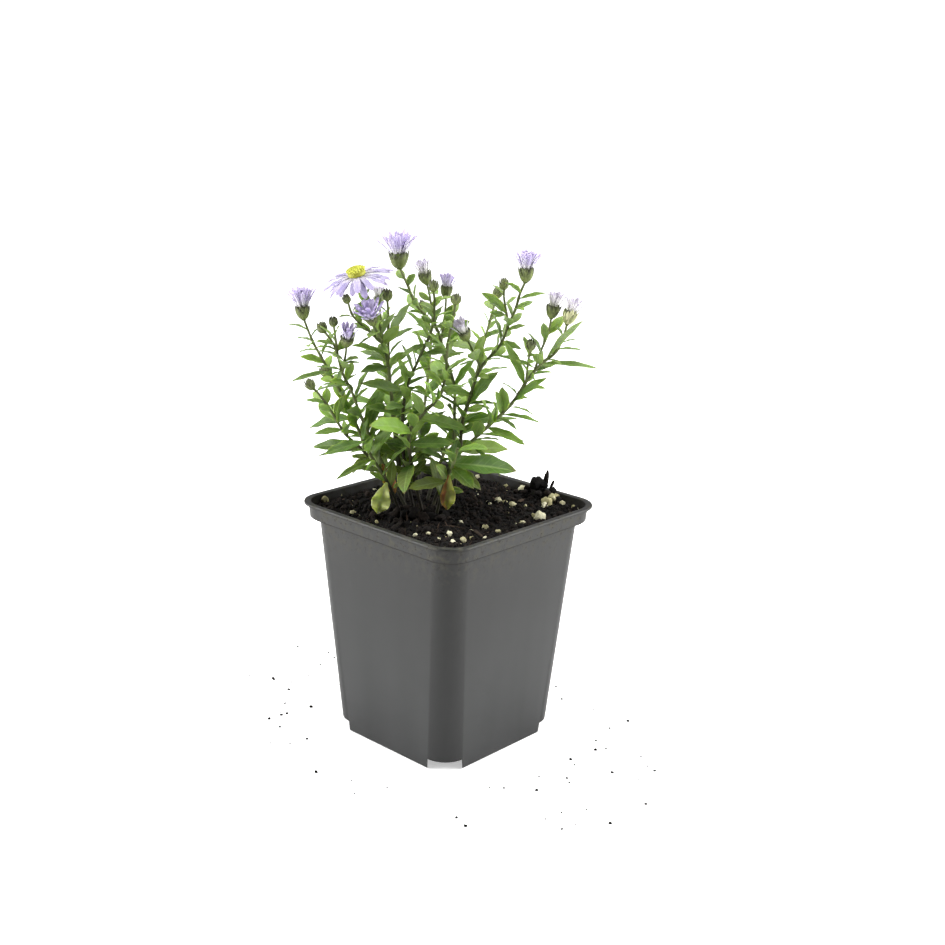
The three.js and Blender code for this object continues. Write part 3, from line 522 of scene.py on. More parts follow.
# Big pale grains, most of them as the photograph shows them: x, y and size in millimetres, in the
# plant's frame, whose x runs to the photograph's right and whose y runs away
GRAINS = [(-51, 6, 3.4), (-38.3, -8.1, 3.2), (20.5, 10, 3.4), (22.8, 9, 2.6), (26.4, 5.6, 3.4),
          (30.8, 26.5, 4.2), (40.6, 8.5, 4.6), (42.6, 12, 3.4), (39.4, 5.5, 2.8), (44.6, 14.5, 2.2),
          (46.8, 10.5, 2.6), (51.5, 6.5, 2.2), (31.5, 4.5, 2.2),
          (37, -9.5, 4.3), (34.8, -8.4, 2.6), (29.6, -16.4, 2.0), (0.9, -32.5, 2.5), (14.9, -22.6, 2.6),
          (5.4, -17.2, 1.9), (-15, -20, 1.8), (6.5, -38.5, 2.6), (17, 7.5, 1.8), (24.5, -4, 1.5),
          (-46, 14, 2.2), (-2, 44, 2.6), (-20, 36, 2.2), (12, 46, 2.4), (-32, 24, 1.8), (24, 32, 2.0),
          (9.5, -27, 1.6), (-28, -20, 1.6), (-3, -37, 1.8), (2.5, -41, 2), (10, -36, 1.7), (-7, -33, 1.5),
          (15, -34, 1.9), (20, -27, 1.8), (-12, -34, 1.6)]
# Loose clods of earth on the heap and round the stems' feet, given in the same way
CLODS = [(36.6, 19.5, 6), (36.2, 19.2, 5.4), (33, 21.5, 3.4), (39.6, 18, 4), (43, 15.5, 3.6),
         (31.5, 18.5, 3.0), (45.5, 12, 2.8), (37, 13.5, 3.4), (41, 14, 3.2), (-24, -9, 4.6),
         (-20.5, -11.5, 5.4), (-17, -13.5, 4.4), (-13.5, -13, 5.6), (-10, -14.5, 5), (-6.5, -14.5, 5.4),
         (-3, -16, 4.2), (-15.5, -8, 5.6), (-8, -10, 5.4), (-19, -8.5, 5), (-2, -11, 4.6), (-26, -5, 4.2),
         (-11.5, -6, 5), (-22, -5.5, 4.8), (-6, -5.5, 5), (28, 24, 2.6), (-8, -30, 2.8), (20, -14, 3.0),
         (-30, -12, 2.8), (-44, 3, 2.6), (10, -8, 2.6), (-12, 40, 3.0), (14, 38, 2.8), (-34, 14, 2.6),
         (48, 3, 2.4), (26, -22, 2.4)]
# Slivers of bark that stand up or lie about: x, y, length, lean from upright and the way they lean
SLIVERS = [(40.4, 18.6, 9.5, 24, 60), (42.6, 17, 6.5, 30, 75), (44.6, 14.8, 5.5, 62, 250),
           (38.2, 20.6, 5.5, 44, 100), (45.8, 12.6, 4.5, 66, 290), (30, 12, 7, 84, 20),
           (-20, -24, 8, 86, 200), (12, -30, 7, 84, 250), (-44, 8, 6, 82, 40), (18, 30, 8, 85, 120),
           (2, -22, 6, 84, 310), (-14, 28, 7, 86, 80), (27, 14, 6, 78, 280), (50, -1, 5, 80, 60),
           (-30, 20, 6, 84, 10)]
SLIVER_SHAPE = (0.26, 0.13, 1)
GRAIN_SUNK = 0.3
CLOD_SUNK = 0.22
SHAPES_SEED = 12
TONE_STEP = 0.37
LUMP_SIDES = 12
LUMP_ROWS = 8
LUMP_SHIFT = 7
LUMP_RINGS = [circle(0.5 * math.cos(rise), LUMP_SIDES, 0.5 * math.sin(rise))
              for rise in math.pi * (np.arange(1, LUMP_ROWS) / LUMP_ROWS - 0.5)]

# The ring of table that a few specks have fallen on: its inner and outer reach across and ahead
SPILL_RINGS = ((58, 56), (108, 70))
SPILL_SIDES = 16
SPILL = {"Density": 1.6e4, "Smallest": 0.0002, "Largest": 0.0018, "Length": 1.1,
         "Roughness": 0.0002, "Seed": 13}


def planted(points):
    """Turns points from the plant's frame to the pot's."""
    points = np.asarray(points, float)
    turn = np.array([[math.cos(PLANT_TURN), math.sin(PLANT_TURN), 0],
                     [-math.sin(PLANT_TURN), math.cos(PLANT_TURN), 0], [0, 0, 1]])
    return points @ turn


def soil_height(x, y):
    across = x * math.cos(PLANT_TURN) + y * math.sin(PLANT_TURN)
    away = y * math.cos(PLANT_TURN) - x * math.sin(PLANT_TURN)
    apart = (across - HEAP["x"]) ** 2 + (away - HEAP["y"]) ** 2
    heap = HEAP["height"] * math.exp(-apart / HEAP["spread"])
    lumps = sum(noise.noise(Vector((x, y, layer)) * scale) * height
                for layer, scale, height in SOIL_LUMPS)
    return SOIL_TOP + heap * (0.85 + 0.25 * lumps) + lumps


def attribute(tree, name):
    return field(tree, "ShaderNodeAttribute", output=2, attribute_name=name)


def soil_finish(name, dark, brown, roughness=0.95):
    """Earth: near black to brown in fine speckles. The piece's tone attribute shifts it."""
    material, tree, shader = new_material(name)
    where = own_place(tree)
    speckle = mottle(tree, where, 700.0)
    patches = mottle(tree, where, 55.0)
    tone = attribute(tree, "tone")
    brownish = ramp(tree, speckle * 0.5 + tone * 0.4 + patches * 0.5, 0.55, 1.1)
    coat(tree, shader, blend(tree, brownish, dark, brown), roughness, 0.25)
    bump(tree, shader, mottle(tree, where, 1500.0), 0.7, 0.0004)
    return material


def named(tree, name, kind="FLOAT"):
    return field(tree, "GeometryNodeInputNamedAttribute", (name,), data_type=kind)


def keep(tree, geometry, name, value, kind="FLOAT"):
    """Stores a value on a geometry's points, under a name."""
    values = {"Geometry": geometry, "Name": name, "Value": value}
    return field(tree, "GeometryNodeStoreNamedAttribute", values, data_type=kind, domain="POINT")


def random_value(tree, low, high, seed):
    values = {2: low, 3: high, "Seed": seed}
    return field(tree, "FunctionNodeRandomValue", values, output=1, data_type="FLOAT")


def random_vector(tree, low, high, seed):
    values = {0: (low,) * 3, 1: (high,) * 3, "Seed": seed}
    return field(tree, "FunctionNodeRandomValue", values, data_type="FLOAT_VECTOR")


def scattered(tree, given, spread):
    """Points over a surface, and a turn for each that leans from the surface by a random spread."""
    values = {"Mesh": given["Surface"], "Density": given["Density"], "Seed": given["Seed"]}
    points = place(tree, "GeometryNodeDistributePointsOnFaces", values).outputs
    lean = field(tree, "FunctionNodeEulerToRotation", (random_vector(tree, *spread),))
    turn = field(tree, "FunctionNodeRotateRotation", (Field(points["Rotation"]), lean))
    return Field(points["Points"]), turn


def copies(tree, points, form, **values):
    """A form on every point, as real geometry."""
    values = {"Points": points, "Instance": form, **values}
    placed = field(tree, "GeometryNodeInstanceOnPoints", values)
    return field(tree, "GeometryNodeRealizeInstances", (placed,))


def deliver(tree, geometry, given, socket):
    """Leads a geometry out of its tree, in the tree's given material."""
    values = {"Geometry": geometry, "Material": given["Material"]}
    wire(tree, field(tree, "GeometryNodeSetMaterial", values), socket)


def lump_tree():
    """Lumps strewn over a surface: turned at random, each with its own size, form and tone."""
    tree, given, out = tree_of("GeometryNodeTree", "strewn_lumps", {
        "Surface": "Geometry", "Density": "Float", "Smallest": "Float", "Largest": "Float",
        "Length": "Float", "Roughness": "Float", "Seed": "Int", "Material": "Material"},
        {"Lumps": "Geometry"})
    points, turn = scattered(tree, given, (-3.14, 3.14, 23))
    points = keep(tree, points, "tone", random_value(tree, 0.0, 1.0, 5))
    lump = field(tree, "GeometryNodeMeshUVSphere", {"Segments": 6, "Rings": 4, "Radius": 0.5})
    share = random_value(tree, 0.0, 1.0, 11)
    size = given["Smallest"] + (given["Largest"] - given["Smallest"]) * share * share * share
    shape = field(tree, "ShaderNodeCombineXYZ", (size * given["Length"], size, size * 0.75))
    real = copies(tree, points, lump, Rotation=turn, Scale=shape)
    where = field(tree, "GeometryNodeInputPosition")
    wobble = place(tree, "ShaderNodeTexNoise", {"Vector": where, "Scale": 900.0, "Detail": 2.0})
    push = (Field(wobble.outputs["Color"]) - (0.5, 0.5, 0.5)) * given["Roughness"]
    moved = field(tree, "GeometryNodeSetPosition", {"Geometry": real, "Offset": push})
    deliver(tree, moved, given, out["Lumps"])
    return tree


def grown(name, source, tree, **values):
    """An object with the plain mesh that a tree makes from a source mesh."""
    piece = bpy.data.objects.new(name, source)
    bpy.context.scene.collection.objects.link(piece)
    modifier = piece.modifiers.new(name, "NODES")
    modifier.node_group = tree
    for item in tree.interface.items_tree:
        if item.in_out == "INPUT" and item.name in values:
            modifier[item.identifier] = values[item.name]
    settle(piece)
    return piece


def make_soil():
    edge = rounded_square(BORE_HALF - SOIL_MARGIN, CORNER - SOIL_MARGIN, SOIL_EDGE)
    rings = [[(x, y, SOIL_EDGE - 0.2) for x, y, _ in edge], edge]
    for k in range(SOIL_RINGS):
        share = SOIL_REACH * (1 - k / SOIL_RINGS) ** SOIL_CROWDING
        rings.append([(x * share, y * share, soil_height(x * share, y * share)) for x, y, _ in edge])
    soil = cavity(WALL + GAP, GAP, [*rings, [(0, 0, soil_height(0, 0))]])
    soil.name = "potting_soil"
    shade(soil, soil_finish("potting_soil", (0.0024, 0.0018, 0.0015), (0.013, 0.009, 0.006)), 180)
    dress(soil, "soil", "soil")
    return rings[2:]


def strew(rings):
    """Crumbs, fibres and fine perlite over the soil's top, as three pieces."""
    points, faces = loft([*rings, [(0, 0, SOIL_TOP)]])
    top = new_object("soil_top", points, faces)
    dark = soil_finish("soil_crumb", (0.0024, 0.0017, 0.0014), (0.019, 0.012, 0.008))
    bark = soil_finish("bark_fibre", (0.008, 0.005, 0.0035), (0.07, 0.044, 0.028), 0.85)
    pale = soil_finish("perlite_grain", (0.34, 0.31, 0.16), (0.76, 0.74, 0.55), 0.8)
    kinds = {
        "soil_crumbs": {"Density": 6.4e5, "Smallest": 0.0006, "Largest": 0.003, "Length": 1.3,
                        "Roughness": 0.0012, "Seed": 3, "Material": dark},
        "bark_fibres": {"Density": 5.0e4, "Smallest": 0.0003, "Largest": 0.0009, "Length": 9.0,
                        "Roughness": 0.0007, "Seed": 8, "Material": bark},
        "fine_perlite": {"Density": 8.0e3, "Smallest": 0.0005, "Largest": 0.0014, "Length": 1.2,
                         "Roughness": 0.0006, "Seed": 21, "Material": pale},
    }
    for name, values in kinds.items():
        dress(grown(name, top.data.copy(), strewn_lumps, **values), "soil")
    bpy.data.objects.remove(top)
    return dark, bark, pale


def lay_lumps(name, lumps, material):
    """Knobbly lumps, each with its place in the plant's frame, its size, its three stretches, its
    lean from upright, the way it leans, and how deep it sits as a share of its size."""
    points, faces, tones = [], [], []
    ball, skin = loft([[(0, 0, -0.5)], *LUMP_RINGS, [(0, 0, 0.5)]])
    for number, (x, y, size, stretch, lean, way, sunk) in enumerate(lumps):
        middle = planted((x, y, 0))
        middle[2] = soil_height(middle[0], middle[1]) + size * (0.5 - sunk)
        turn = Matrix.Rotation(math.radians(way), 3, "Z") @ Matrix.Rotation(math.radians(lean), 3, "X")
        start = len(points)
        faces += [tuple(start + corner for corner in face) for face in skin]
        for point in map(Vector, ball):
            own = point + Vector((number * LUMP_SHIFT, 0, 0))
            knob = 1 + 0.5 * noise.noise(own * 2.3) + 0.28 * noise.noise(own * 6.1)
            points.append(tuple(middle + np.array(turn @ (point * Vector(stretch))) * size * knob))
        tones += [(number * TONE_STEP) % 1] * len(ball)
    piece = new_object(name, points, faces)
    stored = piece.data.attributes.new("tone", "FLOAT", "POINT")
    stored.data.foreach_set("value", tones)
    shade(piece, material, 50)
    dress(piece, "soil")


def shaped(places, shapes, sunk):
    """Lumps at their places, each with its own drawn stretches, lean and turn."""
    return [(x, y, size, (0.85 + 0.5 * a, 0.95, 0.7 + 0.35 * b), 18 * b, 360 * c, sunk)
            for (x, y, size), (a, b, c) in zip(places, shapes)]


def spill_crumbs(material):
    """A few specks of soil on the table round the pot's foot. They aren't part of the object."""
    rings = [[(aside * x, ahead * y, z) for x, y, z in circle(1, SPILL_SIDES)]
             for aside, ahead in SPILL_RINGS]
    points, faces = loft(rings)
    ring = new_object("spill_ring", points, [face[::-1] for face in faces])
    grown("spilled_crumbs", ring.data.copy(), strewn_lumps, Material=material, **SPILL)
    bpy.data.objects.remove(ring)


strewn_lumps = lump_tree()
dark, bark, pale = strew(make_soil())
shapes = np.random.default_rng(SHAPES_SEED).random((len(GRAINS) + len(CLODS), 3))
lay_lumps("perlite_grains", shaped(GRAINS, shapes, GRAIN_SUNK), pale)
spill_crumbs(dark)
lay_lumps("loose_clods", shaped(CLODS, shapes[len(GRAINS):], CLOD_SUNK), dark)
lay_lumps("bark_slivers", [
    (x, y, length, SLIVER_SHAPE, lean, way, 0.5 - 0.4 * math.cos(math.radians(lean)))
    for x, y, length, lean, way in SLIVERS], bark)


# The plant's growth. Fifteen thin stems rise from the crown, some with side shoots, and leaves
# stand on them in a spiral, each a golden turn on from the last. The stems' ways are the photo's,
# in millimetres in the plant's own frame, and the leaves keep clear of other stems and leaves.
ROOT_DEPTH = 12
STEM_STEP = 9
CURVE_STEPS = 12
STEM_RADII = (0.85, 0.5)
SHOOT_RADII = (0.55, 0.45)
GOLDEN_TURN = 137.5
LEAF_THICKNESS = 0.7
LEAF_LIFT = (76, 40)
# The limits of each leaf's draws, big leaves and young ones, in the order drawn: length is a factor,
# width is a share of the length, and the rest are degrees, of which lift and turn add to the rule's
LEAF_DRAWS = {"length": (0.85, 1.15), "lift": (-12, 12), "roll": (-38, 38), "turn": (-14, 14),
              "bend": (20, 46), "width": (0.27, 0.34)}
YOUNG_DRAWS = {"length": (0.6, 1.15), "lift": (22, 62), "turn": (-25, 25), "bend": (18, 55),
               "roll": (-62, 62), "width": (0.34, 0.5)}
STEM_LEAVES = {"sizes": (25, 9.5), "span": (0.17, 0.9)}
HEADLESS_LEAVES = {"sizes": (21, 14), "span": (0.34, 0.97)}
SHOOT_LEAVES = {"sizes": (8, 5.5), "span": (0.3, 0.85)}
SHOOT_LEAF_COUNT = 2
SHOOT_TURN = 90
SHOOT_TURN_STEP = 70
STANDING_BEND = 24
STANDING_TURN = 28
DRY_BEND = 8
LEAF_SEAT = 0.2
TURN_TRIES = (0, 24, -24, 48, -48, 75, -75)
SHRINKS = (1, 0.72)
STALK_CLEARANCE = 2.3
LEAF_CLEARANCE = 2.6
OWN_LEAF_CLEARANCE = 1.8
DRY_LEAF_CLEARANCE = 2.4
BUD_CLEARANCE = 3
HEAD_CLEARANCE = 5.5
HEAD_STEP = 1.5
FLOWER_RINGS = (5, 10, 14)
FLOWER_SPOKES = 12
LOWEST_LEAF = 108.5
LEAF_SAMPLES = 8
SAMPLED_HALF = 0.42
NEAR = 26
BARE_FOOT = 10
BARE_SHOOT_FOOT = 2
YOUNG_STEP = 3
YOUNG_SIZES = (14.5, 6.5)
YOUNG_EASE = 0.45
YOUNG_TURN = 60
PLANT_SEED = 20251
UP = np.array([0.0, 0.0, 1.0])


def bud(radius, length):
    return {"kind": "bud", "radius": radius, "length": length}


def tuft(color, radius, length, reach, tilt):
    """A bud whose rays show at its tip, tilted by an inner and an outer angle."""
    return {"kind": "tuft", "color": color, "radius": radius, "length": length, "reach": reach,
            "tilt": tilt}


def brush(radius, length, reach, tilt, lean):
    """A half-open head, whose axis is given as a direction."""
    return {**tuft("lilac", radius, length, reach, tilt), "kind": "brush", "lean": lean}


OPEN_FLOWER = {**brush(3.3, 4, 12.5, (86, 102), (-0.26, -0.22, 1)), "kind": "flower"}

# A stem: where it leaves the soil, how many leaves it bears, the turn of its first leaf, its way
# up, its head and its side shoots
STEMS = [
    {"name": "stem_left_low", "root": (-22.5, -2), "leaves": 9, "turn": 200,
     "way": [(-26, -4, 111.5), (-35, -7, 123), (-41.5, -9, 130), (-46.5, -11, 139), (-51, -12, 146),
             (-53.5, -12, 148.5)],
     "head": bud(1.7, 4.5)},
    {"name": "stem_left_brush", "root": (-24, 2), "leaves": 12, "turn": 60,
     "way": [(-30, 1, 115.5), (-37, 2, 128.5), (-42.5, 3, 140.5), (-52, 4, 157.5), (-55.5, 4, 164),
             (-59, 4, 173)],
     "head": brush(3.1, 6.2, 7.6, (5, 22), (-0.1, 0, 1)),
     "shoots": [
         {"way": [(-37, 2, 128.5), (-40, 6, 134.5), (-44.5, 9, 143.5), (-47.5, 10, 146), (-49.5, 10, 149)],
          "head": bud(2, 5)}]},
    {"name": "stem_left_inner", "root": (-17, -5.5), "leaves": 12, "turn": 300,
     "way": [(-28.5, -3, 119.5), (-35, -3, 134), (-39.5, -2, 145.5), (-43, -3, 153), (-46, -3, 163.5),
             (-50, -2, 169)],
     "head": bud(1.7, 4.5),
     "shoots": [
         {"way": [(-43, -3, 153), (-41.5, -6, 161), (-41, -8, 165)],
          "head": tuft("lilac", 2.8, 5.4, 5.4, (4, 18))},
         {"way": [(-45.2, -3, 160), (-45.5, -5, 167), (-46, -7, 172.5)], "head": bud(1.5, 4)}]},
    {"name": "stem_open_flower", "root": (-18.5, 3), "leaves": 13, "turn": 120,
     "way": [(-21, 2, 120.5), (-23.5, 1, 141.5), (-26.5, 0, 164), (-30, 0, 175), (-33, -1, 183),
             (-36, -2, 187)],
     "head": OPEN_FLOWER,
     "shoots": [
         {"way": [(-26.5, 0, 164), (-32, -3, 169.5), (-38.5, -5, 176), (-40.5, -6, 181.5)],
          "head": bud(1.3, 3.6)},
         {"way": [(-26.3, 0, 162), (-28.5, -6, 169), (-30.5, -10, 174)],
          "head": brush(2.5, 5, 6.5, (12, 44), (-0.2, -0.5, 1))}]},
    {"name": "stem_pale_upright", "root": (-19.5, 8), "leaves": 12, "turn": 20,
     "way": [(-22, 7, 119), (-24, 5, 140.5), (-25.5, 5, 163.5), (-25.5, 5, 174), (-26, 5, 181)],
     "head": bud(1.8, 4.6)},
    {"name": "stem_tall_fan", "root": (-3.5, 6), "leaves": 14, "turn": 250,
     "way": [(1, 7, 119.5), (1.5, 7, 136.5), (1, 7, 147.5), (-3, 7, 159), (-6.5, 8, 170),
             (-14.5, 9, 178.5), (-18, 9, 186), (-21.5, 9, 193.5)],
     "head": brush(4.1, 7.2, 9, (8, 34), (-0.08, 0, 1)),
     "shoots": [
         {"way": [(-6.5, 8, 169), (-8.5, 5, 179), (-9.5, 3, 185), (-10.5, 3, 188.5)],
          "head": tuft("white", 2.9, 5.8, 4.8, (3, 16))},
         {"way": [(-4.6, 8, 164), (-3.5, 10, 173), (-3, 11, 179), (-3, 11, 182)],
          "head": tuft("lilac", 2.7, 5.2, 5, (4, 22))}]},
    {"name": "stem_right_tall", "root": (1.5, 2), "leaves": 14, "turn": 40,
     "way": [(4, 1, 121.5), (5, 0, 134.5), (6.5, 0, 139.5), (11, -1, 155), (18, -1, 164), (20.5, -2, 169),
             (22, -2, 174), (24.5, -2, 180), (26, -2, 186), (28, -2, 191)],
     "head": brush(3.1, 6.4, 7, (5, 22), (0.05, 0, 1)),
     "shoots": [
         {"way": [(11.6, -1, 156), (9, -4, 162), (7, -6, 166.5), (6, -7, 168.5)],
          "head": tuft("white", 2.7, 5.4, 5, (3, 16))},
         {"way": [(22, -2, 173), (21, 1, 178.5), (20, 3, 183.5), (20, 3, 187)], "head": bud(1.6, 4.2)}]},
    {"name": "stem_right_long", "root": (-6.5, -4), "leaves": 14, "turn": 330,
     "way": [(-1.5, -4, 112.5), (5, -5, 123), (14.5, -6, 133), (23.5, -7, 142.5), (30, -7, 153),
             (35.5, -7, 160), (40.5, -8, 164.5), (43.5, -8, 171.5), (44.5, -8, 176)],
     "head": {**tuft("white", 2.9, 6.2, 5.4, (4, 20)), "faded": 1},
     "shoots": [
         {"way": [(32, -7, 156), (35, -5, 164.5), (37, -4, 169.5), (38, -4, 173.5), (38.5, -4, 177.5)],
          "head": tuft("white", 2.8, 6, 5.4, (3, 16))},
         {"way": [(29.6, -7, 152.3), (30, -9, 160.5), (30.5, -11, 166)], "head": bud(1.7, 4.2)}]},
    {"name": "stem_dark_crossing", "root": (-14.5, -2.5), "leaves": 12, "turn": 160,
     "way": [(-17.5, -2, 113), (-19, -3, 128.5), (-18, -4, 146), (-13, -5, 159.5), (-8, -6, 171.5),
             (-7, -6, 181.5), (-7.5, -6, 187)],
     "head": bud(1.7, 4.4)},
    {"name": "stem_front_bent", "root": (-10.5, -9), "leaves": 12, "turn": 280,
     "way": [(-14, -11, 114), (-16, -12.5, 131), (-11.5, -13, 138.5), (-4, -13, 147.5), (-2, -13, 157),
             (-1.5, -12, 167), (0.5, -11, 178), (1, -11, 183)],
     "head": bud(1.6, 4.2)},
    {"name": "shoot_front_right", "root": (-4.5, -12), "leaves": 8, "turn": 90,
     "way": [(-1.5, -16, 113), (1.5, -19, 120.5), (3.5, -21, 128.5)]},
    {"name": "shoot_front_left", "root": (-19.5, -10), "leaves": 8, "turn": 210,
     "way": [(-24.5, -14, 112.5), (-30, -17, 122.5), (-34, -18, 130)]},
    {"name": "stem_back_left", "root": (-16.5, 13), "leaves": 12, "turn": 100,
     "way": [(-21, 20, 115.5), (-26, 27, 135), (-29, 31, 155.5), (-30.5, 33, 170), (-31, 33, 174)],
     "head": tuft("white", 2, 4.6, 4, (3, 14))},
    {"name": "stem_back_right", "root": (-8.5, 13), "leaves": 12, "turn": 10,
     "way": [(-0.5, 22, 120), (7.5, 28, 136), (12, 33, 156), (16, 35, 172), (17.5, 36, 178)],
     "head": bud(1.8, 4.6)},
    {"name": "stem_back_middle", "root": (-12.5, 18), "leaves": 12, "turn": 70,
     "way": [(-13, 30, 117.5), (-11.5, 38, 133), (-10, 42, 149.5), (-10, 44, 162), (-13, 44, 170)],
     "head": bud(1.8, 4.6)},
]

# Leaves that stand out in the plant's outline, and the big ones in its middle: stem, root, tip
# and greatest width
STANDING_LEAVES = [
    ("stem_right_long", (35.5, -7, 160), (57.5, -8, 158.5), 3.2),
    ("stem_right_long", (29, -7, 151.5), (20, -9, 169), 4.6),
    ("stem_right_long", (38, -7.5, 162), (50.5, -11.5, 178), 4),
    ("stem_right_long", (24, -7, 143.5), (37.5, -11, 155), 5),
    ("stem_right_long", (14.5, -6, 133), (30, -9, 127), 4.5),
    ("shoot_front_right", (1.8, -19, 121.5), (26.5, -22, 120), 10.5),
    ("shoot_front_right", (1.5, -19, 120), (10, -27, 114), 6),
    ("shoot_front_right", (-1.2, -16.3, 114), (-15.5, -21.5, 111.5), 6.5),
    ("shoot_front_left", (-33.5, -18, 129), (-48.5, -21, 124.5), 5.5),
    ("shoot_front_left", (-29.5, -17, 121.5), (-44, -22, 114.5), 3.4),
    ("stem_left_brush", (-49, 3.7, 152), (-64, 1, 148), 3),
    ("stem_pale_upright", (-25.5, 5, 164), (-16.5, 1, 181), 5.5),
    ("stem_right_tall", (26, -2, 184), (36, -4, 187), 2.6),
    ("stem_right_tall", (7, 0, 141), (18.5, -3, 155), 7),
    ("stem_tall_fan", (1, 7, 146.5), (9, 4, 158), 4.5),
    ("stem_tall_fan", (-2.8, 7, 158.5), (3, 4, 170), 5),
    ("stem_front_bent", (-15.4, -12, 127), (1.5, -16.5, 128.5), 7),
    ("stem_right_tall", (8, -0.4, 145.5), (-3, -6, 147.5), 6.5),
    ("stem_dark_crossing", (-17.8, -4, 146), (-35.5, -10, 150.5), 6),
    ("stem_dark_crossing", (-18.6, -3.3, 137), (-33.5, -12, 141.5), 5.5),
    ("stem_dark_crossing", (-17.2, -4.2, 148), (-21, -9, 161), 4.5),
    ("stem_left_brush", (-37.7, 2, 130), (-45, 0, 143.5), 4),
    ("stem_dark_crossing", (-10, -5.6, 166), (-19.5, -10, 162), 3),
    ("stem_open_flower", (-26, 0, 160), (-38.5, -12, 166), 5),
    ("stem_open_flower", (-25.3, 0.3, 155), (-35.5, -8, 154.5), 5),
    ("stem_right_long", (20, -6.7, 138.5), (17.5, -10, 149), 4.5),
]

# Dry leaves that hang in front of a stem's foot: name, stem, root, tip and width
DRY_LEAVES = [
    ("dry_leaf_yellow_green", "shoot_front_left", (-24.5, -14, 112.5), (-28, -17.5, 99.4), 7.5),
    ("dry_leaf_yellow_brown", "shoot_front_right", (0.2, -17.5, 117), (-0.3, -19, 102), 6),
    ("dry_leaf_brown", "stem_left_inner", (-26, -4, 117), (-21.5, -8, 105), 5.2),
]


def seeded(seed):
    """Draws between two numbers, alike each time."""
    state = seed

    def draw(low, high):
        nonlocal state
        state = (state * 1664525 + 1013904223) % 4294967296
        return low + (high - low) * (state / 4294967296)
    return draw


def unit(vector):
    return vector / np.linalg.norm(vector)


def mix(low, high, share):
    return low * (1 - share) + high * share


def level_way(angle):
    """The level direction at an angle."""
    return np.array([math.cos(angle), math.sin(angle), 0])


def walk(way, spacing=STEM_STEP):
    """A path's points, evenly spaced along a smooth curve through its given points."""
    points = np.array(way, float)
    padded = np.vstack([2 * points[0] - points[1], points, 2 * points[-1] - points[-2]])
    fine = [points[0]]
    for k in range(len(points) - 1):
        before, start, end, after = padded[k:k + 4]
        leave, arrive = (end - before) / 2, (after - start) / 2
        for step in range(1, CURVE_STEPS + 1):
            t = step / CURVE_STEPS
            fine.append(start + leave * t + (3 * (end - start) - 2 * leave - arrive) * t ** 2
                        + (2 * (start - end) + leave + arrive) * t ** 3)
    marks = [0.0]
    for k in range(1, len(fine)):
        marks.append(marks[-1] + np.linalg.norm(fine[k] - fine[k - 1]))
    count = max(2, int(marks[-1] / spacing + 0.5))
    even, k = [], 0
    for i in range(count + 1):
        target = marks[-1] * i / count
        while k + 2 < len(marks) and marks[k + 1] < target:
            k += 1
        part = (target - marks[k]) / (marks[k + 1] - marks[k])
        even.append(mix(fine[k], fine[k + 1], min(part, 1)))
    return np.array(even)


def finely(points):
    """Points about one millimetre apart on the straight runs between a path's points."""
    fine = [points[0]]
    for start, end in zip(points, points[1:]):
        count = max(1, int(np.linalg.norm(end - start) + 0.5))
        fine += [mix(start, end, i / count) for i in range(1, count + 1)]
    return np.array(fine)


def tangent_at(points, i):
    return unit(points[min(i + 1, len(points) - 1)] - points[max(i - 1, 0)])


def leaf_samples(leaf):
    """Points along a leaf's middle and both edges, for keeping it clear of others."""
    across = np.cross(leaf["face"], leaf["along"])
    turn = math.radians(leaf["bend"])
    samples = []
    for i in range(1, LEAF_SAMPLES + 1):
        part = i / LEAF_SAMPLES
        middle = (leaf["root"] + leaf["along"] * (leaf["length"] * math.sin(turn * part) / turn)
                  - leaf["face"] * (leaf["length"] * (1 - math.cos(turn * part)) / turn))
        half = leaf["width"] * SAMPLED_HALF if i < LEAF_SAMPLES else 0
        samples += [middle, middle + across * half, middle - across * half]
    return np.array(samples)


def leaf_towards(root, tip, width, bend):
    """A leaf drawn from a root towards a tip, its upper face turned up and a little to the front."""
    chord = tip - root
    flat = unit(chord)
    turn = math.radians(STANDING_TURN)
    facing = np.array([0, -math.sin(turn), math.cos(turn)])
    face = unit(facing - flat * (facing @ flat))
    half = math.radians(bend) / 2
    return {"root": root, "along": flat * math.cos(half) + face * math.sin(half),
            "face": face * math.cos(half) - flat * math.sin(half),
            "length": np.linalg.norm(chord) * half / math.sin(half), "width": width, "bend": bend}


guards = {"owners": np.empty(0, str), "points": np.empty((0, 3)), "reach": np.empty(0),
          "own_reach": np.empty(0)}


def guard(owner, points, reach, own_reach=0):
    """Points that leaves keep away from: by reach, or by own_reach on the same stem."""
    guards["owners"] = np.append(guards["owners"], [owner] * len(points))
    guards["points"] = np.vstack([guards["points"], points])
    guards["reach"] = np.append(guards["reach"], [reach] * len(points))
    guards["own_reach"] = np.append(guards["own_reach"], [own_reach] * len(points))


def is_clear(owner, samples, ease=1.0):
    """Whether a leaf keeps its distance from all else. An ease under 1 lets it come nearer."""
    if samples[:, 2].min() < LOWEST_LEAF:
        return False
    middle = samples.mean(axis=0)
    near = np.linalg.norm(guards["points"] - middle, axis=1) < NEAR
    own = guards["owners"][near] == owner
    reach = np.where(own, guards["own_reach"][near], guards["reach"][near]) * ease
    gaps = ((guards["points"][near][:, None, :] - samples[None]) ** 2).sum(axis=2)
    return bool((gaps > (reach ** 2)[:, None]).all())


def stem_way(stem):
    x, y = stem["root"]
    return [(x, y, SOIL_TOP - ROOT_DEPTH), (x, y, SOIL_TOP - 4), (x, y, SOIL_TOP + 2), *stem["way"]]


def on_stem(stem, wanted):
    """The point of a stem's own line that lies nearest to a given one."""
    line = finely(walk(stem_way(stem)))
    return line[((line - np.array(wanted, float)) ** 2).sum(axis=1).argmin()]


def head_axis(path, head):
    return unit(np.array(head["lean"], float)) if "lean" in head else tangent_at(path, len(path) - 1)


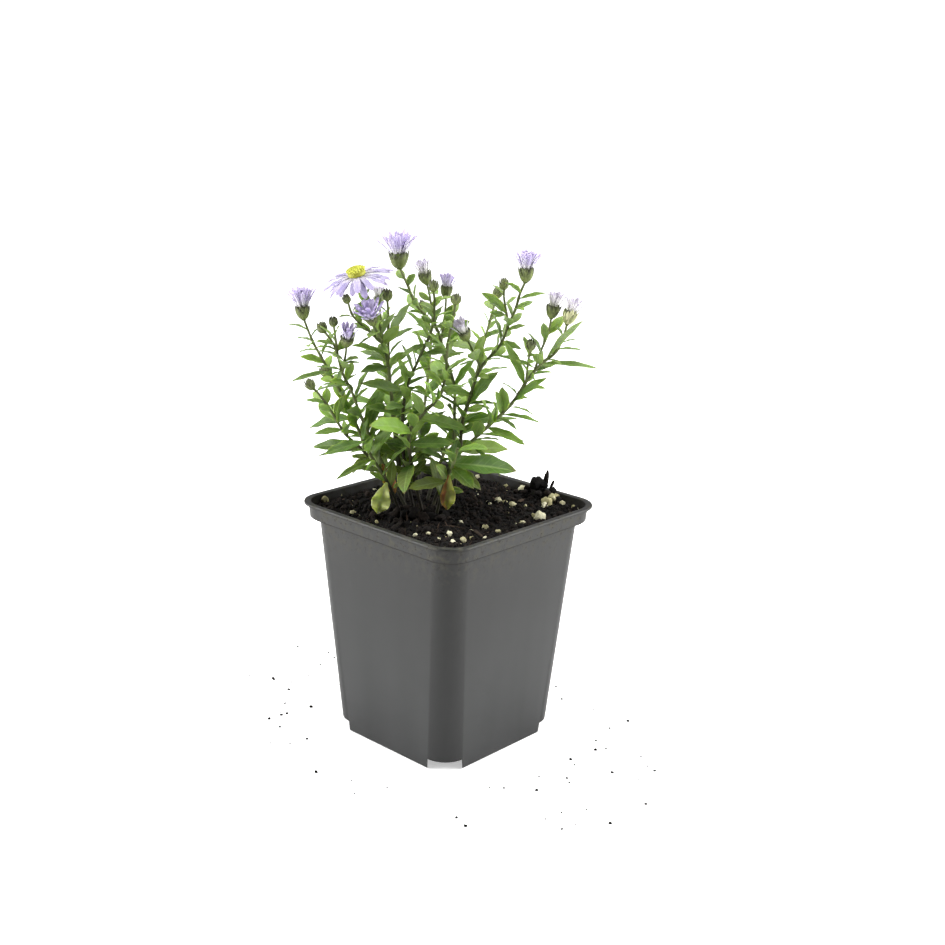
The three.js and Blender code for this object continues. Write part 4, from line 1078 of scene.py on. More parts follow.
def grow_stalk(stem, way, head, radii):
    path = walk(way)
    stem["stalks"].append({"way": way, "radii": radii})
    guard(stem["name"], finely(path), STALK_CLEARANCE)
    if not head:
        return
    axis = head_axis(path, head)
    full = head["length"] + head.get("reach", 0)
    points = [path[-1] + axis * height for height in np.arange(0, full + 1e-9, HEAD_STEP)]
    if head["kind"] == "flower":
        for i in range(FLOWER_SPOKES):
            out = level_way(math.radians(360 / FLOWER_SPOKES * i))
            points += [path[-1] + axis * (head["length"] + 1) + out * reach for reach in FLOWER_RINGS]
    reach = BUD_CLEARANCE if head["kind"] == "bud" else HEAD_CLEARANCE
    guard(stem["name"] + "_head", points, reach)
    stem["heads"].append({**head, "tip": path[-1], "axis": axis})


def turned(vector, axis, angle):
    """A vector turned about a unit axis by an angle."""
    return (vector * math.cos(angle) + np.cross(axis, vector) * math.sin(angle)
            + axis * (axis @ vector) * (1 - math.cos(angle)))


def add_leaf(stem, kind, leaf, tone):
    """Keeps a leaf among a stem's blades or its young leaves, and keeps later ones away from it."""
    stem[kind].append({**leaf, "tone": tone})
    guard(stem["name"], leaf_samples(leaf), LEAF_CLEARANCE, OWN_LEAF_CLEARANCE)


def fitted_leaf(stem, path, at, start, lift, length, drawn, shrinks=(1,), ease=1.0):
    """A leaf from a point of a stalk, turned on and made smaller until it is clear, or None."""
    tangent = tangent_at(path, at)
    lift = math.radians(lift + drawn["lift"])
    length *= drawn["length"]
    width = length * drawn["width"]
    for shrink in shrinks:
        for extra in TURN_TRIES:
            out = level_way(math.radians(start + extra))
            out = unit(out - tangent * (out @ tangent))
            along = out * math.sin(lift) + tangent * math.cos(lift)
            face = tangent * math.sin(lift) - out * math.cos(lift)
            leaf = {"root": path[at] + out * LEAF_SEAT, "along": along,
                    "face": turned(face, along, math.radians(drawn["roll"])),
                    "length": length * shrink, "width": width * shrink, "bend": drawn["bend"]}
            if is_clear(stem["name"], leaf_samples(leaf), ease):
                return leaf
    return None


def grow_leaves(stem, way, count, turn, sizes, span):
    """Leaves up a stalk, smaller towards the top, turned on where they would meet another's."""
    path = finely(walk(way))
    for i in range(count):
        part = i / (count - 1)
        at = int(mix(span[0], span[1], part ** 1.15) * (len(path) - 1) + 0.5)
        drawn = {label: draw(*limits) for label, limits in LEAF_DRAWS.items()}
        start = turn + GOLDEN_TURN * i + drawn["turn"]
        length = mix(sizes[1], sizes[0], (1 - part) ** 0.6)
        lift = mix(*LEAF_LIFT, part)
        leaf = fitted_leaf(stem, path, at, start, lift, length, drawn, shrinks=SHRINKS)
        if leaf:
            add_leaf(stem, "blades", leaf, (start % 97) / 97)


def grow_young_leaves(stem):
    """The many small leaves between a stem's big ones, close to the stalk."""
    for stalk in stem["stalks"]:
        path = finely(walk(stalk["way"]))
        is_stem = stalk["radii"] == STEM_RADII
        foot = ROOT_DEPTH + BARE_FOOT if is_stem else BARE_SHOOT_FOOT
        for i, at in enumerate(range(foot, len(path) - 2, YOUNG_STEP)):
            part = (at - foot) / len(path)
            drawn = {label: draw(*limits) for label, limits in YOUNG_DRAWS.items()}
            start = stem["turn"] + YOUNG_TURN + GOLDEN_TURN * i + drawn["turn"]
            length = mix(*YOUNG_SIZES, part ** 0.7)
            leaf = fitted_leaf(stem, path, at, start, 0, length, drawn, ease=YOUNG_EASE)
            if leaf:
                add_leaf(stem, "young", leaf, draw(0.3, 1.0))


draw = seeded(PLANT_SEED)
dry_blades = {}


def grow_plant():
    by_name = {stem["name"]: stem for stem in STEMS}
    for stem in STEMS:
        stem.update(stalks=[], heads=[], blades=[], young=[])
        grow_stalk(stem, stem_way(stem), stem.get("head"), STEM_RADII)
        for shoot in stem.get("shoots", []):
            shoot["way"][0] = tuple(on_stem(stem, shoot["way"][0]))
            grow_stalk(stem, shoot["way"], shoot["head"], SHOOT_RADII)
    for number, (name, root, tip, width) in enumerate(STANDING_LEAVES):
        leaf = leaf_towards(on_stem(by_name[name], root), np.array(tip, float), width, STANDING_BEND)
        add_leaf(by_name[name], "blades", leaf, (number * TONE_STEP + 0.4) % 1)
    for name, stem, root, tip, width in DRY_LEAVES:
        start = on_stem(by_name[stem], root) - (0, STEM_RADII[0] + GAP + LEAF_THICKNESS / 2, 0)
        along = unit(np.array(tip, float) - start)
        leaf = {"root": start, "along": along, "face": unit(np.array([0, -1, 0]) + along * along[1]),
                "length": np.linalg.norm(np.array(tip, float) - start), "width": width, "bend": DRY_BEND}
        guard(name, leaf_samples(leaf), DRY_LEAF_CLEARANCE)
        dry_blades[name] = {**leaf, "tone": 0.5}
    for stem in STEMS:
        kind = STEM_LEAVES if "head" in stem else HEADLESS_LEAVES
        grow_leaves(stem, stem_way(stem), stem["leaves"], stem["turn"], **kind)
        for k, shoot in enumerate(stem.get("shoots", [])):
            turn = stem["turn"] + SHOOT_TURN + SHOOT_TURN_STEP * k
            grow_leaves(stem, shoot["way"], SHOOT_LEAF_COUNT, turn, **SHOOT_LEAVES)
    for stem in STEMS:
        grow_young_leaves(stem)


grow_plant()


# Stalks. Each stem and side shoot is thin and round, a little thicker where a leaf leaves it,
# woody brown at its foot and green above, and set with short stiff hairs.
STALK_SIDES = 10
STALK_STEP = 1.5
KNOT_SWELL = 0.28
KNOT_SPREAD = 1.4
WOODY_STEMS = {"stem_dark_crossing": 0, "stem_front_bent": 0.15, "stem_right_tall": 0.2}
HAIRS = {"Density": 6.0e5, "Length": 0.0007, "Radius": 0.00003, "Seed": 4}


def valued_mesh(name, points, edges=(), **values):
    """A mesh of bare points or lines in millimetres, with values stored on its points."""
    mesh = bpy.data.meshes.new(name)
    mesh.from_pydata([tuple(point) for point in MM * np.asarray(points)], list(edges), [])
    for label, column in values.items():
        column = np.asarray(column, float)
        is_vector = column.ndim == 2
        stored = mesh.attributes.new(label, "FLOAT_VECTOR" if is_vector else "FLOAT", "POINT")
        stored.data.foreach_set("vector" if is_vector else "value", column.ravel())
    return mesh


def stalk_tree():
    """A round stalk along each line, as thick as the line's thickness attribute says."""
    tree, given, out = tree_of("GeometryNodeTree", "round_stalks", {
        "Lines": "Geometry", "Sides": "Int", "Material": "Material"}, {"Stalks": "Geometry"})
    curve = field(tree, "GeometryNodeMeshToCurve", {"Mesh": given["Lines"]})
    profile = field(tree, "GeometryNodeCurvePrimitiveCircle", {
        "Resolution": given["Sides"], "Radius": 1.0})
    skin = field(tree, "GeometryNodeCurveToMesh", {
        "Curve": curve, "Profile Curve": profile, "Scale": named(tree, "thickness"),
        "Fill Caps": True})
    real = field(tree, "GeometryNodeRealizeInstances", (skin,))
    deliver(tree, field(tree, "GeometryNodeSetShadeSmooth", (real,)), given, out["Stalks"])
    return tree


def hair_tree():
    """Short stiff hairs that stand on a skin, each leaning its own way."""
    tree, given, out = tree_of("GeometryNodeTree", "stiff_hairs", {
        "Surface": "Geometry", "Density": "Float", "Length": "Float", "Radius": "Float",
        "Seed": "Int", "Material": "Material"}, {"Hairs": "Geometry"})
    points, turn = scattered(tree, given, (-0.7, 0.7, 31))
    cone = field(tree, "GeometryNodeMeshCone", {
        "Vertices": 3, "Radius Top": 0.0, "Radius Bottom": given["Radius"], "Depth": given["Length"]})
    hairs = copies(tree, points, cone, Rotation=turn, Scale=random_value(tree, 0.5, 1.2, 17))
    deliver(tree, hairs, given, out["Hairs"])
    return tree


def stalk_finish():
    """Stalk: dark woody brown at the foot, olive above, pale lengthwise streaks, painted shade by the soil.
    """
    material, tree, shader = new_material("stalk")
    where = own_place(tree)
    height = on_axis(tree, where, "Z")
    cloud = mottle(tree, where, 120.0)
    tone = attribute(tree, "tone")
    # The foot turns dark woody brown with age.
    toward_soil = ramp(tree, height + cloud * 0.03 + tone * 0.05, 0.2, 0.12)
    stalk = blend(tree, tone, (0.095, 0.12, 0.038), (0.17, 0.2, 0.075))
    stalk = blend(tree, toward_soil, stalk, (0.034, 0.026, 0.014))
    # Painted shade: the stalk is darkened almost to black just above the soil, under the leaves.
    stalk = blend(tree, ramp(tree, height, 0.117, 0.106) * 0.85, stalk, (0.007, 0.005, 0.003))
    streaks = ramp(tree, mottle(tree, where, 1300.0, stretch=(1, 1, 0.12)), 0.5, 0.75)
    coat(tree, shader, blend(tree, streaks * 0.25, stalk, (0.18, 0.17, 0.08)), 0.65, 0.3)
    bump(tree, shader, streaks + cloud, 0.4, 0.0002)
    return material


def hair_finish():
    material, tree, shader = new_material("stiff_hair")
    where = own_place(tree)
    height = on_axis(tree, where, "Z")
    hair = blend(tree, mottle(tree, where, 300.0), (0.14, 0.16, 0.07), (0.28, 0.3, 0.16))
    # Painted shade: the hairs are darkened almost to black towards the soil.
    hair = blend(tree, ramp(tree, height, 0.14, 0.105), hair, (0.012, 0.009, 0.006))
    coat(tree, shader, hair, 0.6)
    return material


def grow_stalk_skins(stem, tone):
    """One stem's stalks, round and knotted, and their hairs."""
    points, edges, thickness = [], [], []
    for stalk in stem["stalks"]:
        line = walk(stalk["way"], STALK_STEP)
        low, high = stalk["radii"]
        start = len(points)
        edges += [(start + i, start + i + 1) for i in range(len(line) - 1)]
        for i, point in enumerate(line):
            near = min(np.linalg.norm(point - leaf["root"]) for leaf in stem["blades"])
            knot = KNOT_SWELL * math.exp(-near ** 2 / KNOT_SPREAD)
            thickness.append(mix(low, high, i / (len(line) - 1)) * (0.92 + knot))
        points += list(line)
    mesh = valued_mesh("stalks", planted(points), edges, thickness=MM * np.array(thickness),
                       tone=[tone] * len(points))
    stalks = grown("stalks", mesh, round_stalks, Sides=STALK_SIDES, Material=stalk_skin)
    hairs = grown("hairs", stalks.data.copy(), stiff_hairs, Material=hair_skin, **HAIRS)
    return [stalks, hairs]


round_stalks = stalk_tree()
stiff_hairs = hair_tree()
stalk_skin = stalk_finish()
hair_skin = hair_finish()


# Leaves. Narrow pointed blades that clasp the stalk, folded a little along the midrib and bent
# down towards the tip, darker above and paler below. Bracts and rays are made the same way.
LEAF_OUTLINE = [(0, 0.24), (0.07, 0.34), (0.2, 0.7), (0.34, 0.93), (0.48, 1), (0.62, 0.95),
                (0.76, 0.76), (0.88, 0.45), (0.95, 0.22), (1, 0.03)]
LEAF_FORM = {"Sides": 16, "Stations": 22, "Thickness": 0.00032, "Fold": 0.26, "Keel": 0.00022,
             "Wave": 0.1}
YOUNG_FORM = {"Sides": 10, "Stations": 11, "Thickness": 0.0003, "Fold": 0.3, "Keel": 0.00012,
              "Wave": 0.08}
VEIN_PAIRS = 9.0
FRESH_RIB = (0.24, 0.35, 0.1)
FRESH_UNDERSIDE = (0.17, 0.25, 0.08)


def curve_of(tree, value, points):
    """A smooth curve through given points, read at a value."""
    node = place(tree, "ShaderNodeFloatCurve", {"Value": value})
    line = node.mapping.curves[0].points
    line[0].location, line[1].location = points[0], points[-1]
    for point in points[1:-1]:
        line.new(*point)
    node.mapping.update()
    return Field(node.outputs[0])


def blade_tree(name, outline):
    """A thin blade on each point, whose way, size and bend come from the point's attributes."""
    tree, given, out = tree_of("GeometryNodeTree", name, {
        "Points": "Geometry", "Sides": "Int", "Stations": "Int", "Thickness": "Float", "Fold": "Float",
        "Keel": "Float", "Wave": "Float", "Material": "Material"}, {"Blades": "Geometry"})
    where = field(tree, "GeometryNodeInputPosition")
    rooted = keep(tree, given["Points"], "root", where, "FLOAT_VECTOR")
    tube = field(tree, "GeometryNodeMeshCylinder", {
        "Vertices": given["Sides"], "Side Segments": given["Stations"], "Radius": 1.0, "Depth": 1.0})
    for axis, label in zip("XYZ", ("across", "side", "part")):
        own = on_axis(tree, where, axis)
        tube = keep(tree, tube, label, own + 0.5 if label == "part" else own)
    real = copies(tree, rooted, tube)

    across, side, part, tone = (named(tree, label) for label in ("across", "side", "part", "tone"))
    length, width, bend = (named(tree, label) for label in ("length", "width", "bend"))
    along, face, root = (named(tree, label, "FLOAT_VECTOR") for label in ("along", "face", "root"))
    angle = bend * part
    sine, cosine = angle.sine(), angle.cosine()
    ahead = length * sine / bend
    drop = length * (cosine * -1.0 + 1.0) / bend
    share = curve_of(tree, part, outline)
    half = width * share * 0.5
    far = across.size()
    ripple = (part * 17.0 + tone * 40.0 + across * 1.2).sine()
    middle = ramp(tree, far, 0.2, 0.0)
    rise = half * (far - 0.5) * given["Fold"] + half * ripple * far * given["Wave"]
    rise = rise - middle * share * given["Keel"] + side * given["Thickness"] * (share * 0.7 + 0.3) * 0.5
    up = face * cosine + along * sine
    sideways = field(tree, "ShaderNodeVectorMath", (face, along), operation="CROSS_PRODUCT")
    at = root + along * ahead - face * drop + sideways * (across * half) + up * rise
    moved = field(tree, "GeometryNodeSetPosition", {"Geometry": real, "Position": at})
    deliver(tree, field(tree, "GeometryNodeSetShadeSmooth", (moved,)), given, out["Blades"])
    return tree


def grow_blades(name, blades, tree, **form):
    """The blades of a list, in one mesh."""
    columns = {label: np.array([blade[label] for blade in blades], float) for label in
               ("root", "along", "face", "length", "width", "bend", "tone")}
    mesh = valued_mesh(name, planted(columns["root"]), along=planted(columns["along"]),
                       face=planted(columns["face"]), length=MM * columns["length"],
                       width=MM * columns["width"], bend=np.radians(columns["bend"]), tone=columns["tone"])
    return grown(name, mesh, tree, **form)


def vein_group():
    """Masks of a blade's middle vein and of its side veins."""
    tree, given, out = tree_of("ShaderNodeTree", "leaf_veins", {
        "Part": "Float", "Across": "Float", "Pairs": "Float"},
        {"Midrib": "Float", "Side Veins": "Float"})
    far = given["Across"].size()
    wire(tree, ramp(tree, far, 0.16, 0.03), out["Midrib"])
    turn = (given["Part"] - far * 0.16) * given["Pairs"] * 6.2832
    wire(tree, ramp(tree, turn.sine(), 0.7, 1.0) * ramp(tree, far, 0.95, 0.6), out["Side Veins"])
    return tree


def let_light_through(shader, share, reach):
    """Makes a thin skin pass on a share of its light, as far inside as a reach for each colour."""
    shader["Subsurface Weight"].default_value = share
    shader["Subsurface Radius"].default_value = reach
    shader["Subsurface Scale"].default_value = 1.0


def leaf_finish(name, dark, bright, rib, under, roughness=0.5, spots=0.0, scorch=0.0):
    """A leaf's skin: blotched between two tones, with paler veins and a paler underside. On fresh leaves,
    painted shade darkens them towards the soil and painted light makes them greyer towards the top;
    dry ones may be scorched on one side."""
    material, tree, shader = new_material(name)
    where = own_place(tree)
    part, tone, side = (attribute(tree, label) for label in ("part", "tone", "side"))
    veins = place(tree, "ShaderNodeGroup", {
        "Part": part, "Across": attribute(tree, "across"), "Pairs": VEIN_PAIRS}, node_tree=leaf_veins)
    midrib, laterals = Field(veins.outputs["Midrib"]), Field(veins.outputs["Side Veins"])
    cloud = mottle(tree, where, 210.0)
    height = on_axis(tree, where, "Z")
    # Painted shade: fresh leaves are darker towards the soil, beneath the others.
    toward_soil = ramp(tree, height, 0.155, 0.105) * (0.35 if spots == 0 else 0.0)
    skin = blend(tree, ramp(tree, tone * 0.55 + cloud * 0.6 - toward_soil, 0.15, 0.8), dark, bright)
    # Painted light: leaves are paler and greyer towards the top.
    skin = blend(tree, ramp(tree, height, 0.115, 0.185) * (tone * -0.4 + 0.58), skin, (0.3, 0.35, 0.19))
    patches = ramp(tree, mottle(tree, where, 60.0) + tone * 0.1, 0.42, 0.62)
    olive = ramp(tree, height, 0.132, 0.11) * patches * (0.6 if spots == 0 else 0.0)
    skin = blend(tree, olive, skin, (0.11, 0.095, 0.028))
    skin = blend(tree, laterals * 0.12, skin, rib)
    skin = blend(tree, midrib * 0.45, skin, rib)
    skin = blend(tree, ramp(tree, side, -0.02, -0.2) * 0.55, skin, under)
    edge = ramp(tree, attribute(tree, "across") + cloud * 0.9, 0.5, -0.1) * scorch
    skin = blend(tree, edge, skin, (0.15, 0.035, 0.012))
    rust = ramp(tree, mottle(tree, where, 520.0), 0.6, 0.75) * spots
    tip = ramp(tree, part + cloud * 0.2, 1.0, 1.12)
    skin = blend(tree, rust + tip * 0.8, skin, (0.1, 0.06, 0.02))
    coat(tree, shader, skin, roughness, 0.35)
    let_light_through(shader, 0.32, (0.0009, 0.0012, 0.0002))
    fine = mottle(tree, where, 1500.0)
    bump(tree, shader, laterals * -0.5 + midrib * -0.8 + fine * 0.4, 0.5, 0.0002)
    return material


leaf_veins = vein_group()
leaf_blades = blade_tree("leaf_blades", LEAF_OUTLINE)
leaf_skin = leaf_finish("leaf", (0.058, 0.125, 0.013), (0.17, 0.29, 0.034), FRESH_RIB,
                        FRESH_UNDERSIDE)
young_skin = leaf_finish("young_leaf", (0.068, 0.135, 0.014), (0.215, 0.335, 0.043), FRESH_RIB,
                         FRESH_UNDERSIDE)


# Green cups and buds. A small body at the stalk's end wears three rows of narrow bracts that
# overlap like tiles. They close over a bud, and stand open round a flower's rays.
CUP_BODY = [(0, -0.12), (0.26, -0.1), (0.36, 0.02), (0.6, 0.18), (0.78, 0.4), (0.86, 0.7), (0.8, 0.82),
            (0.66, 0.76), (0, 0.55)]
BUD_BODY = [(0, -0.12), (0.3, -0.1), (0.5, 0.06), (0.8, 0.3), (0.7, 0.62), (0.4, 0.85), (0, 0.95)]
# How many points of a body, from its foot up, the bracts' own feet follow
BRACT_FEET = 5
HEAD_SIDES = 14
BRACTS_A_ROW = 8

# Each row of bracts: how high it sits, how far it leans out and bends back in, and how long it is
CUP_BRACTS = [(0.02, 46, 48, 0.62), (0.1, 38, 40, 0.76), (0.2, 24, 20, 0.78)]
BUD_BRACTS = [(0.02, 62, 80, 0.72), (0.12, 46, 70, 0.86), (0.24, 26, 56, 0.84)]
BRACT_OUTLINE = [(0, 0.75), (0.35, 1), (0.7, 0.72), (1, 0.04)]
BRACT_FORM = {"Sides": 8, "Stations": 7, "Thickness": 0.0003, "Fold": -0.35, "Keel": 0.0,
              "Wave": 0.0}


def head_turn(head):
    """The turn that takes straight up to a head's own axis."""
    return np.array(Vector((0, 0, 1)).rotation_difference(Vector(head["axis"])).to_matrix())


def lathe(profile, radius, length):
    """Rings of a turned form, from shares of a radius and of a length."""
    return [circle(radius * share, HEAD_SIDES, length * height) if share else
            [(0, 0, length * height)] for share, height in profile]


def head_body(head, rings, material):
    """A turned body set on a head's stalk."""
    points, faces = loft(rings)
    points = planted(np.array(points) @ head_turn(head).T + head["tip"])
    body = new_object("head_body", points, faces)
    shade(body, material, 60)
    return body


def leaning(head, angle, lean, out_by, height):
    """Where a blade of a head starts, which way it runs, and its outer side."""
    out = level_way(angle)
    along = out * math.sin(lean) + UP * math.cos(lean)
    outer = out * math.cos(lean) - UP * math.sin(lean)
    turn = head_turn(head)
    return turn @ (out * out_by + UP * height) + head["tip"], turn @ along, turn @ outer


def bracts_of(head):
    is_bud = head["kind"] == "bud"
    body = BUD_BODY if is_bud else CUP_BODY
    shares, heights = zip(*body[:BRACT_FEET])
    blades = []
    for row, (height, lean, bend, size) in enumerate(BUD_BRACTS if is_bud else CUP_BRACTS):
        out_by = head["radius"] * np.interp(height, heights, shares) * 0.92
        for k in range(BRACTS_A_ROW):
            angle = 2 * math.pi * (k + 0.5 * row) / BRACTS_A_ROW + draw(-0.12, 0.12)
            tilt = math.radians(lean + draw(-5, 5))
            root, along, outer = leaning(head, angle, tilt, out_by, head["length"] * height)
            blades.append({"root": root, "along": along, "face": outer, "bend": bend + draw(-5, 5),
                           "length": head["length"] * size * draw(0.88, 1.08),
                           "width": head["radius"] * 0.8,
                           "tone": draw(0, 1) + head.get("faded", 0)})
    return blades


def bract_finish():
    """A bract: pale green at its foot, dark green to purplish brown at its tip."""
    material, tree, shader = new_material("bract")
    where = own_place(tree)
    part, tone = attribute(tree, "part"), attribute(tree, "tone")
    cloud = mottle(tree, where, 500.0)
    skin = blend(tree, tone, (0.1, 0.13, 0.03), (0.19, 0.23, 0.065))
    skin = blend(tree, ramp(tree, part + cloud * 0.3, 0.6, 1.15), skin, (0.04, 0.042, 0.02))
    skin = blend(tree, ramp(tree, tone, 1.2, 1.8), skin, (0.55, 0.55, 0.3))
    coat(tree, shader, skin, 0.6)
    bump(tree, shader, cloud, 0.4, 0.0001)
    return material


def grow_heads(stem):
    """The green cups, buds and bracts at the ends of one stem's stalks."""
    parts = []
    for head in stem["heads"]:
        profile = BUD_BODY if head["kind"] == "bud" else CUP_BODY
        parts.append(head_body(head, lathe(profile, head["radius"], head["length"]), bract_skin))
    blades = [blade for head in stem["heads"] for blade in bracts_of(head)]
    if blades:
        parts.append(grow_blades("bracts", blades, bract_blades, Material=bract_skin, **BRACT_FORM))
    return parts


def joined(name, parts):
    with bpy.context.temp_override(active_object=parts[0], selected_editable_objects=parts):
        bpy.ops.object.join()
    parts[0].name = name
    return parts[0]


bract_blades = blade_tree("bract_blades", BRACT_OUTLINE)
bract_skin = bract_finish()
for number, stem in enumerate(STEMS):
    tone = WOODY_STEMS.get(stem["name"], 0.4 + 0.6 * ((number * TONE_STEP) % 1))
    greens = grow_stalk_skins(stem, tone)
    greens.append(grow_blades("leaves", stem["blades"], leaf_blades, Material=leaf_skin, **LEAF_FORM))
    greens.append(grow_blades("young", stem["young"], leaf_blades, Material=young_skin, **YOUNG_FORM))
    dress(joined("leafy_" + stem["name"], greens + grow_heads(stem)), "green", stem["name"])


# Rays. The narrow coloured petals of each head, rooted side by side in its cup. In a half-open
# head they stand together like a brush, and in the open flower they spread flat and droop a little.
RAY_OUTLINE = [(0, 0.35), (0.25, 0.75), (0.6, 1), (0.85, 0.9), (0.96, 0.6), (1, 0.2)]
RAY_FORM = {"Sides": 8, "Stations": 10, "Thickness": 0.00022, "Fold": 0.3, "Keel": 0.00006,
            "Wave": 0.14}
FLOWER_SEAT = 0.9

# For each kind of head: how many rays it has, how wide they are and how far they bend
RAYS = {"flower": (28, 2.7, 28), "brush": (30, 1.9, 16), "tuft": (15, 1.6, 12)}

# Colours of the rays: deep, pale, at the foot and at the tip
RAY_TONES = {
    "lilac": [(0.34, 0.29, 0.5), (0.6, 0.54, 0.75), (0.7, 0.67, 0.7), (0.42, 0.35, 0.6)],
    "white": [(0.47, 0.45, 0.48), (0.7, 0.67, 0.69), (0.6, 0.6, 0.47), (0.38, 0.34, 0.45)],
    "open": [(0.24, 0.205, 0.38), (0.43, 0.385, 0.57), (0.52, 0.48, 0.58), (0.33, 0.275, 0.47)],
}


def rays_of(head):
    kind, radius = head["kind"], head["radius"]
    count, width, bend = RAYS[kind]
    blades = []
    for i in range(count):
        share = (i + 0.5) / count
        angle = math.radians(GOLDEN_TURN * i) + draw(-0.1, 0.1)
        lean = math.radians(mix(*head["tilt"], share) + draw(-4, 4))
        out_by = radius * (mix(0.62, 0.78, share) if kind == "flower" else mix(0.15, 0.6, share))
        seat = head["length"] + FLOWER_SEAT + 0.3 if kind == "flower" else head["length"] * 0.66
        root, along, outer = leaning(head, angle, lean, out_by, seat)
        size = head["reach"] * draw(0.85, 1.06) + (0 if kind == "flower" else 1.2)
        blades.append({"root": root, "along": along, "face": -outer, "bend": bend + draw(-8, 8),
                       "length": size, "width": width * draw(0.85, 1.1), "tone": draw(0, 1)})
    return blades


def ray_finish(name, deep, pale, foot, tip):
    """A ray's skin: fine lengthwise veins, a paler foot and a tinted tip, each with its own tone."""
    material, tree, shader = new_material(name)
    part, across, tone = (attribute(tree, label) for label in ("part", "across", "tone"))
    cloud = mottle(tree, own_place(tree), 400.0)
    skin = blend(tree, ramp(tree, tone * 0.7 + cloud * 0.5, 0.2, 0.9), deep, pale)
    lines = ramp(tree, (across * 11.0).cosine(), 0.2, 1.0)
    skin = blend(tree, lines * 0.22, skin, deep)
    skin = blend(tree, ramp(tree, part + cloud * 0.3, 0.75, 1.15), skin, tip)
    coat(tree, shader, blend(tree, ramp(tree, part, 0.5, 0.1), skin, foot), 0.6)
    shader["Sheen Weight"].default_value = 0.1
    let_light_through(shader, 0.45, (0.0012, 0.0011, 0.0014))
    bump(tree, shader, lines, 0.3, 0.0001)
    return material


ray_blades = blade_tree("ray_blades", RAY_OUTLINE)
ray_skins = {name: ray_finish(name + "_ray", *tones) for name, tones in RAY_TONES.items()}
for stem in STEMS:
    for number, head in enumerate(stem["heads"]):
        if head["kind"] == "bud":
            continue
        color, label = head["color"], "%s_%d" % (stem["name"], number + 1)
        skin = ray_skins["open" if head["kind"] == "flower" else color]
        petals = [grow_blades("rays", rays_of(head), ray_blades, Material=skin, **RAY_FORM)]
        if head["kind"] == "flower":
            seat = head["length"] + FLOWER_SEAT
            core = [(0, 0.5), (0.5, 0.5), (0.85, (seat + 0.1) / head["length"]),
                    (0.8, (seat + 0.6) / head["length"]), (0, (seat + 0.7) / head["length"])]
            petals.append(head_body(head, lathe(core, head["radius"], head["length"]), skin))
        dress(joined("petals_" + label, petals), "rays_" + color, "rays_" + label)


# Disc. The yellow middle of the open flower: a low dome packed with tiny tube florets, the outer
# ones open and the inner ones still closed.
DISC_HEIGHT = 1.8
FLORETS = 140
FLORET = {"Sides": 6, "Radius": 0.00017, "Depth": 0.0009}
DISC_BODY = [(0, 0), (0.9, 0), (0.95, 0.3), (0.75, 0.6), (0.4, 0.78), (0, 0.82)]


def floret_tree():
    """A small blunt tube on each point, standing along the point's own direction."""
    tree, given, out = tree_of("GeometryNodeTree", "disc_florets", {
        "Points": "Geometry", "Sides": "Int", "Radius": "Float", "Depth": "Float",
        "Material": "Material"}, {"Florets": "Geometry"})
    tube = field(tree, "GeometryNodeMeshCone", {
        "Vertices": given["Sides"], "Side Segments": 2, "Radius Top": given["Radius"] * 1.25,
        "Radius Bottom": given["Radius"] * 0.8, "Depth": given["Depth"]})
    turn = field(tree, "FunctionNodeAlignRotationToVector", {
        "Vector": named(tree, "out", "FLOAT_VECTOR")})
    tubes = copies(tree, given["Points"], tube, Rotation=turn, Scale=named(tree, "size"))
    deliver(tree, tubes, given, out["Florets"])
    return tree


def floret_finish():
    material, tree, shader = new_material("floret")
    cloud = mottle(tree, own_place(tree), 900.0)
    mask = ramp(tree, attribute(tree, "tone") * 0.6 + cloud * 0.6, 0.3, 0.8)
    coat(tree, shader, blend(tree, mask, (0.42, 0.42, 0.04), (0.78, 0.8, 0.12)), 0.6)
    bump(tree, shader, cloud, 0.5, 0.0001)
    return material


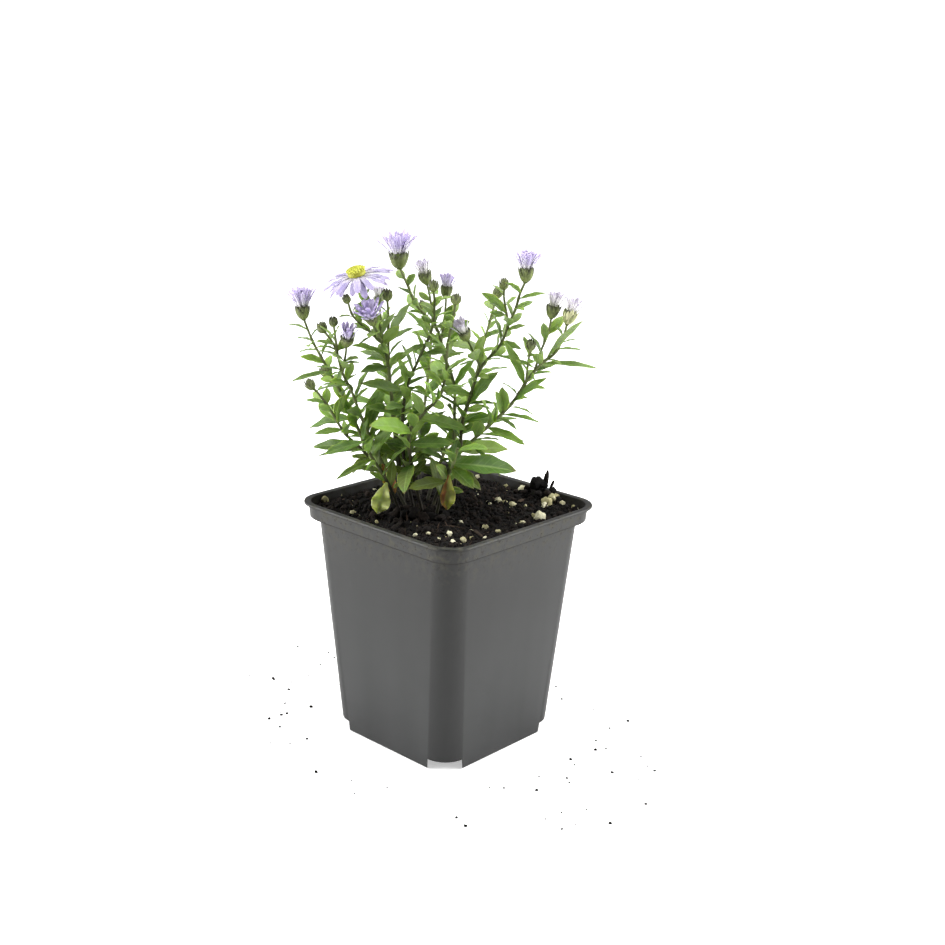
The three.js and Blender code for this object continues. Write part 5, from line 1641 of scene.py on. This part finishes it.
def make_disc(head):
    material = floret_finish()
    radius = head["radius"] * 1.16
    base = head["length"] + FLOWER_SEAT + 0.6
    rise = 0.9 + DISC_HEIGHT
    rings = [[(x, y, z + base) for x, y, z in ring] for ring in lathe(DISC_BODY, radius, rise)]
    dome = head_body(head, rings, material)
    turn = head_turn(head)
    points, ways, sizes, tones = [], [], [], []
    for i in range(FLORETS):
        share = math.sqrt((i + 0.5) / FLORETS)
        angle = math.radians(GOLDEN_TURN * i)
        out = level_way(angle)
        height = base + rise * (0.86 - 0.34 * share ** 2.4)
        points.append(turn @ (out * radius * 0.88 * share + UP * height) + head["tip"])
        ways.append(turn @ unit(UP + out * share * 0.7))
        sizes.append(mix(0.8, 1.15, share) * draw(0.85, 1.1))
        tones.append(draw(0, 1))
    mesh = valued_mesh("florets", planted(points), out=planted(ways), size=sizes, tone=tones)
    tubes = grown("florets", mesh, floret_tree(), Material=material, **FLORET)
    dress(joined("yellow_disc", [dome, tubes]), "disc", "disc_stem_open_flower")


flower_stem = next(stem for stem in STEMS if stem["name"] == "stem_open_flower")
make_disc(flower_stem["heads"][0])


# Dry leaves. Three spent leaves hang at the foot of the stems: one yellow-green, one yellow-brown
# and one brown, each curled and spotted.
DRY_OUTLINE = [(0, 0.14), (0.1, 0.26), (0.26, 0.55), (0.42, 0.84), (0.58, 1), (0.72, 0.92), (0.85, 0.58),
               (0.94, 0.26), (1, 0.04)]
DRY_FORM = {**LEAF_FORM, "Fold": 0.6, "Wave": 0.42}

# For each dry leaf: its slot, and what its finish is made of
DRY_SKINS = {
    "dry_leaf_yellow_green": ("fading_leaf", {
        "name": "fading_leaf", "dark": (0.18, 0.26, 0.045), "bright": (0.5, 0.56, 0.2),
        "rib": (0.55, 0.6, 0.28), "under": (0.36, 0.42, 0.14), "roughness": 0.65, "spots": 0.3}),
    "dry_leaf_yellow_brown": ("brown_leaf", {
        "name": "tan_leaf", "dark": (0.15, 0.13, 0.03), "bright": (0.36, 0.36, 0.11),
        "rib": (0.36, 0.32, 0.14), "under": (0.22, 0.16, 0.06), "roughness": 0.75, "spots": 0.5,
        "scorch": 0.9}),
    "dry_leaf_brown": ("brown_leaf", {
        "name": "brown_leaf", "dark": (0.13, 0.05, 0.018), "bright": (0.3, 0.13, 0.05),
        "rib": (0.32, 0.17, 0.08), "under": (0.19, 0.1, 0.045), "roughness": 0.8, "spots": 0.6}),
}
dry_leaf_blades = blade_tree("dry_leaf_blades", DRY_OUTLINE)
for name, blade in dry_blades.items():
    slot, skin = DRY_SKINS[name]
    curled = grow_blades("curled_" + name, [blade], dry_leaf_blades, Material=leaf_finish(**skin),
                         **DRY_FORM)
    dress(curled, slot, name)
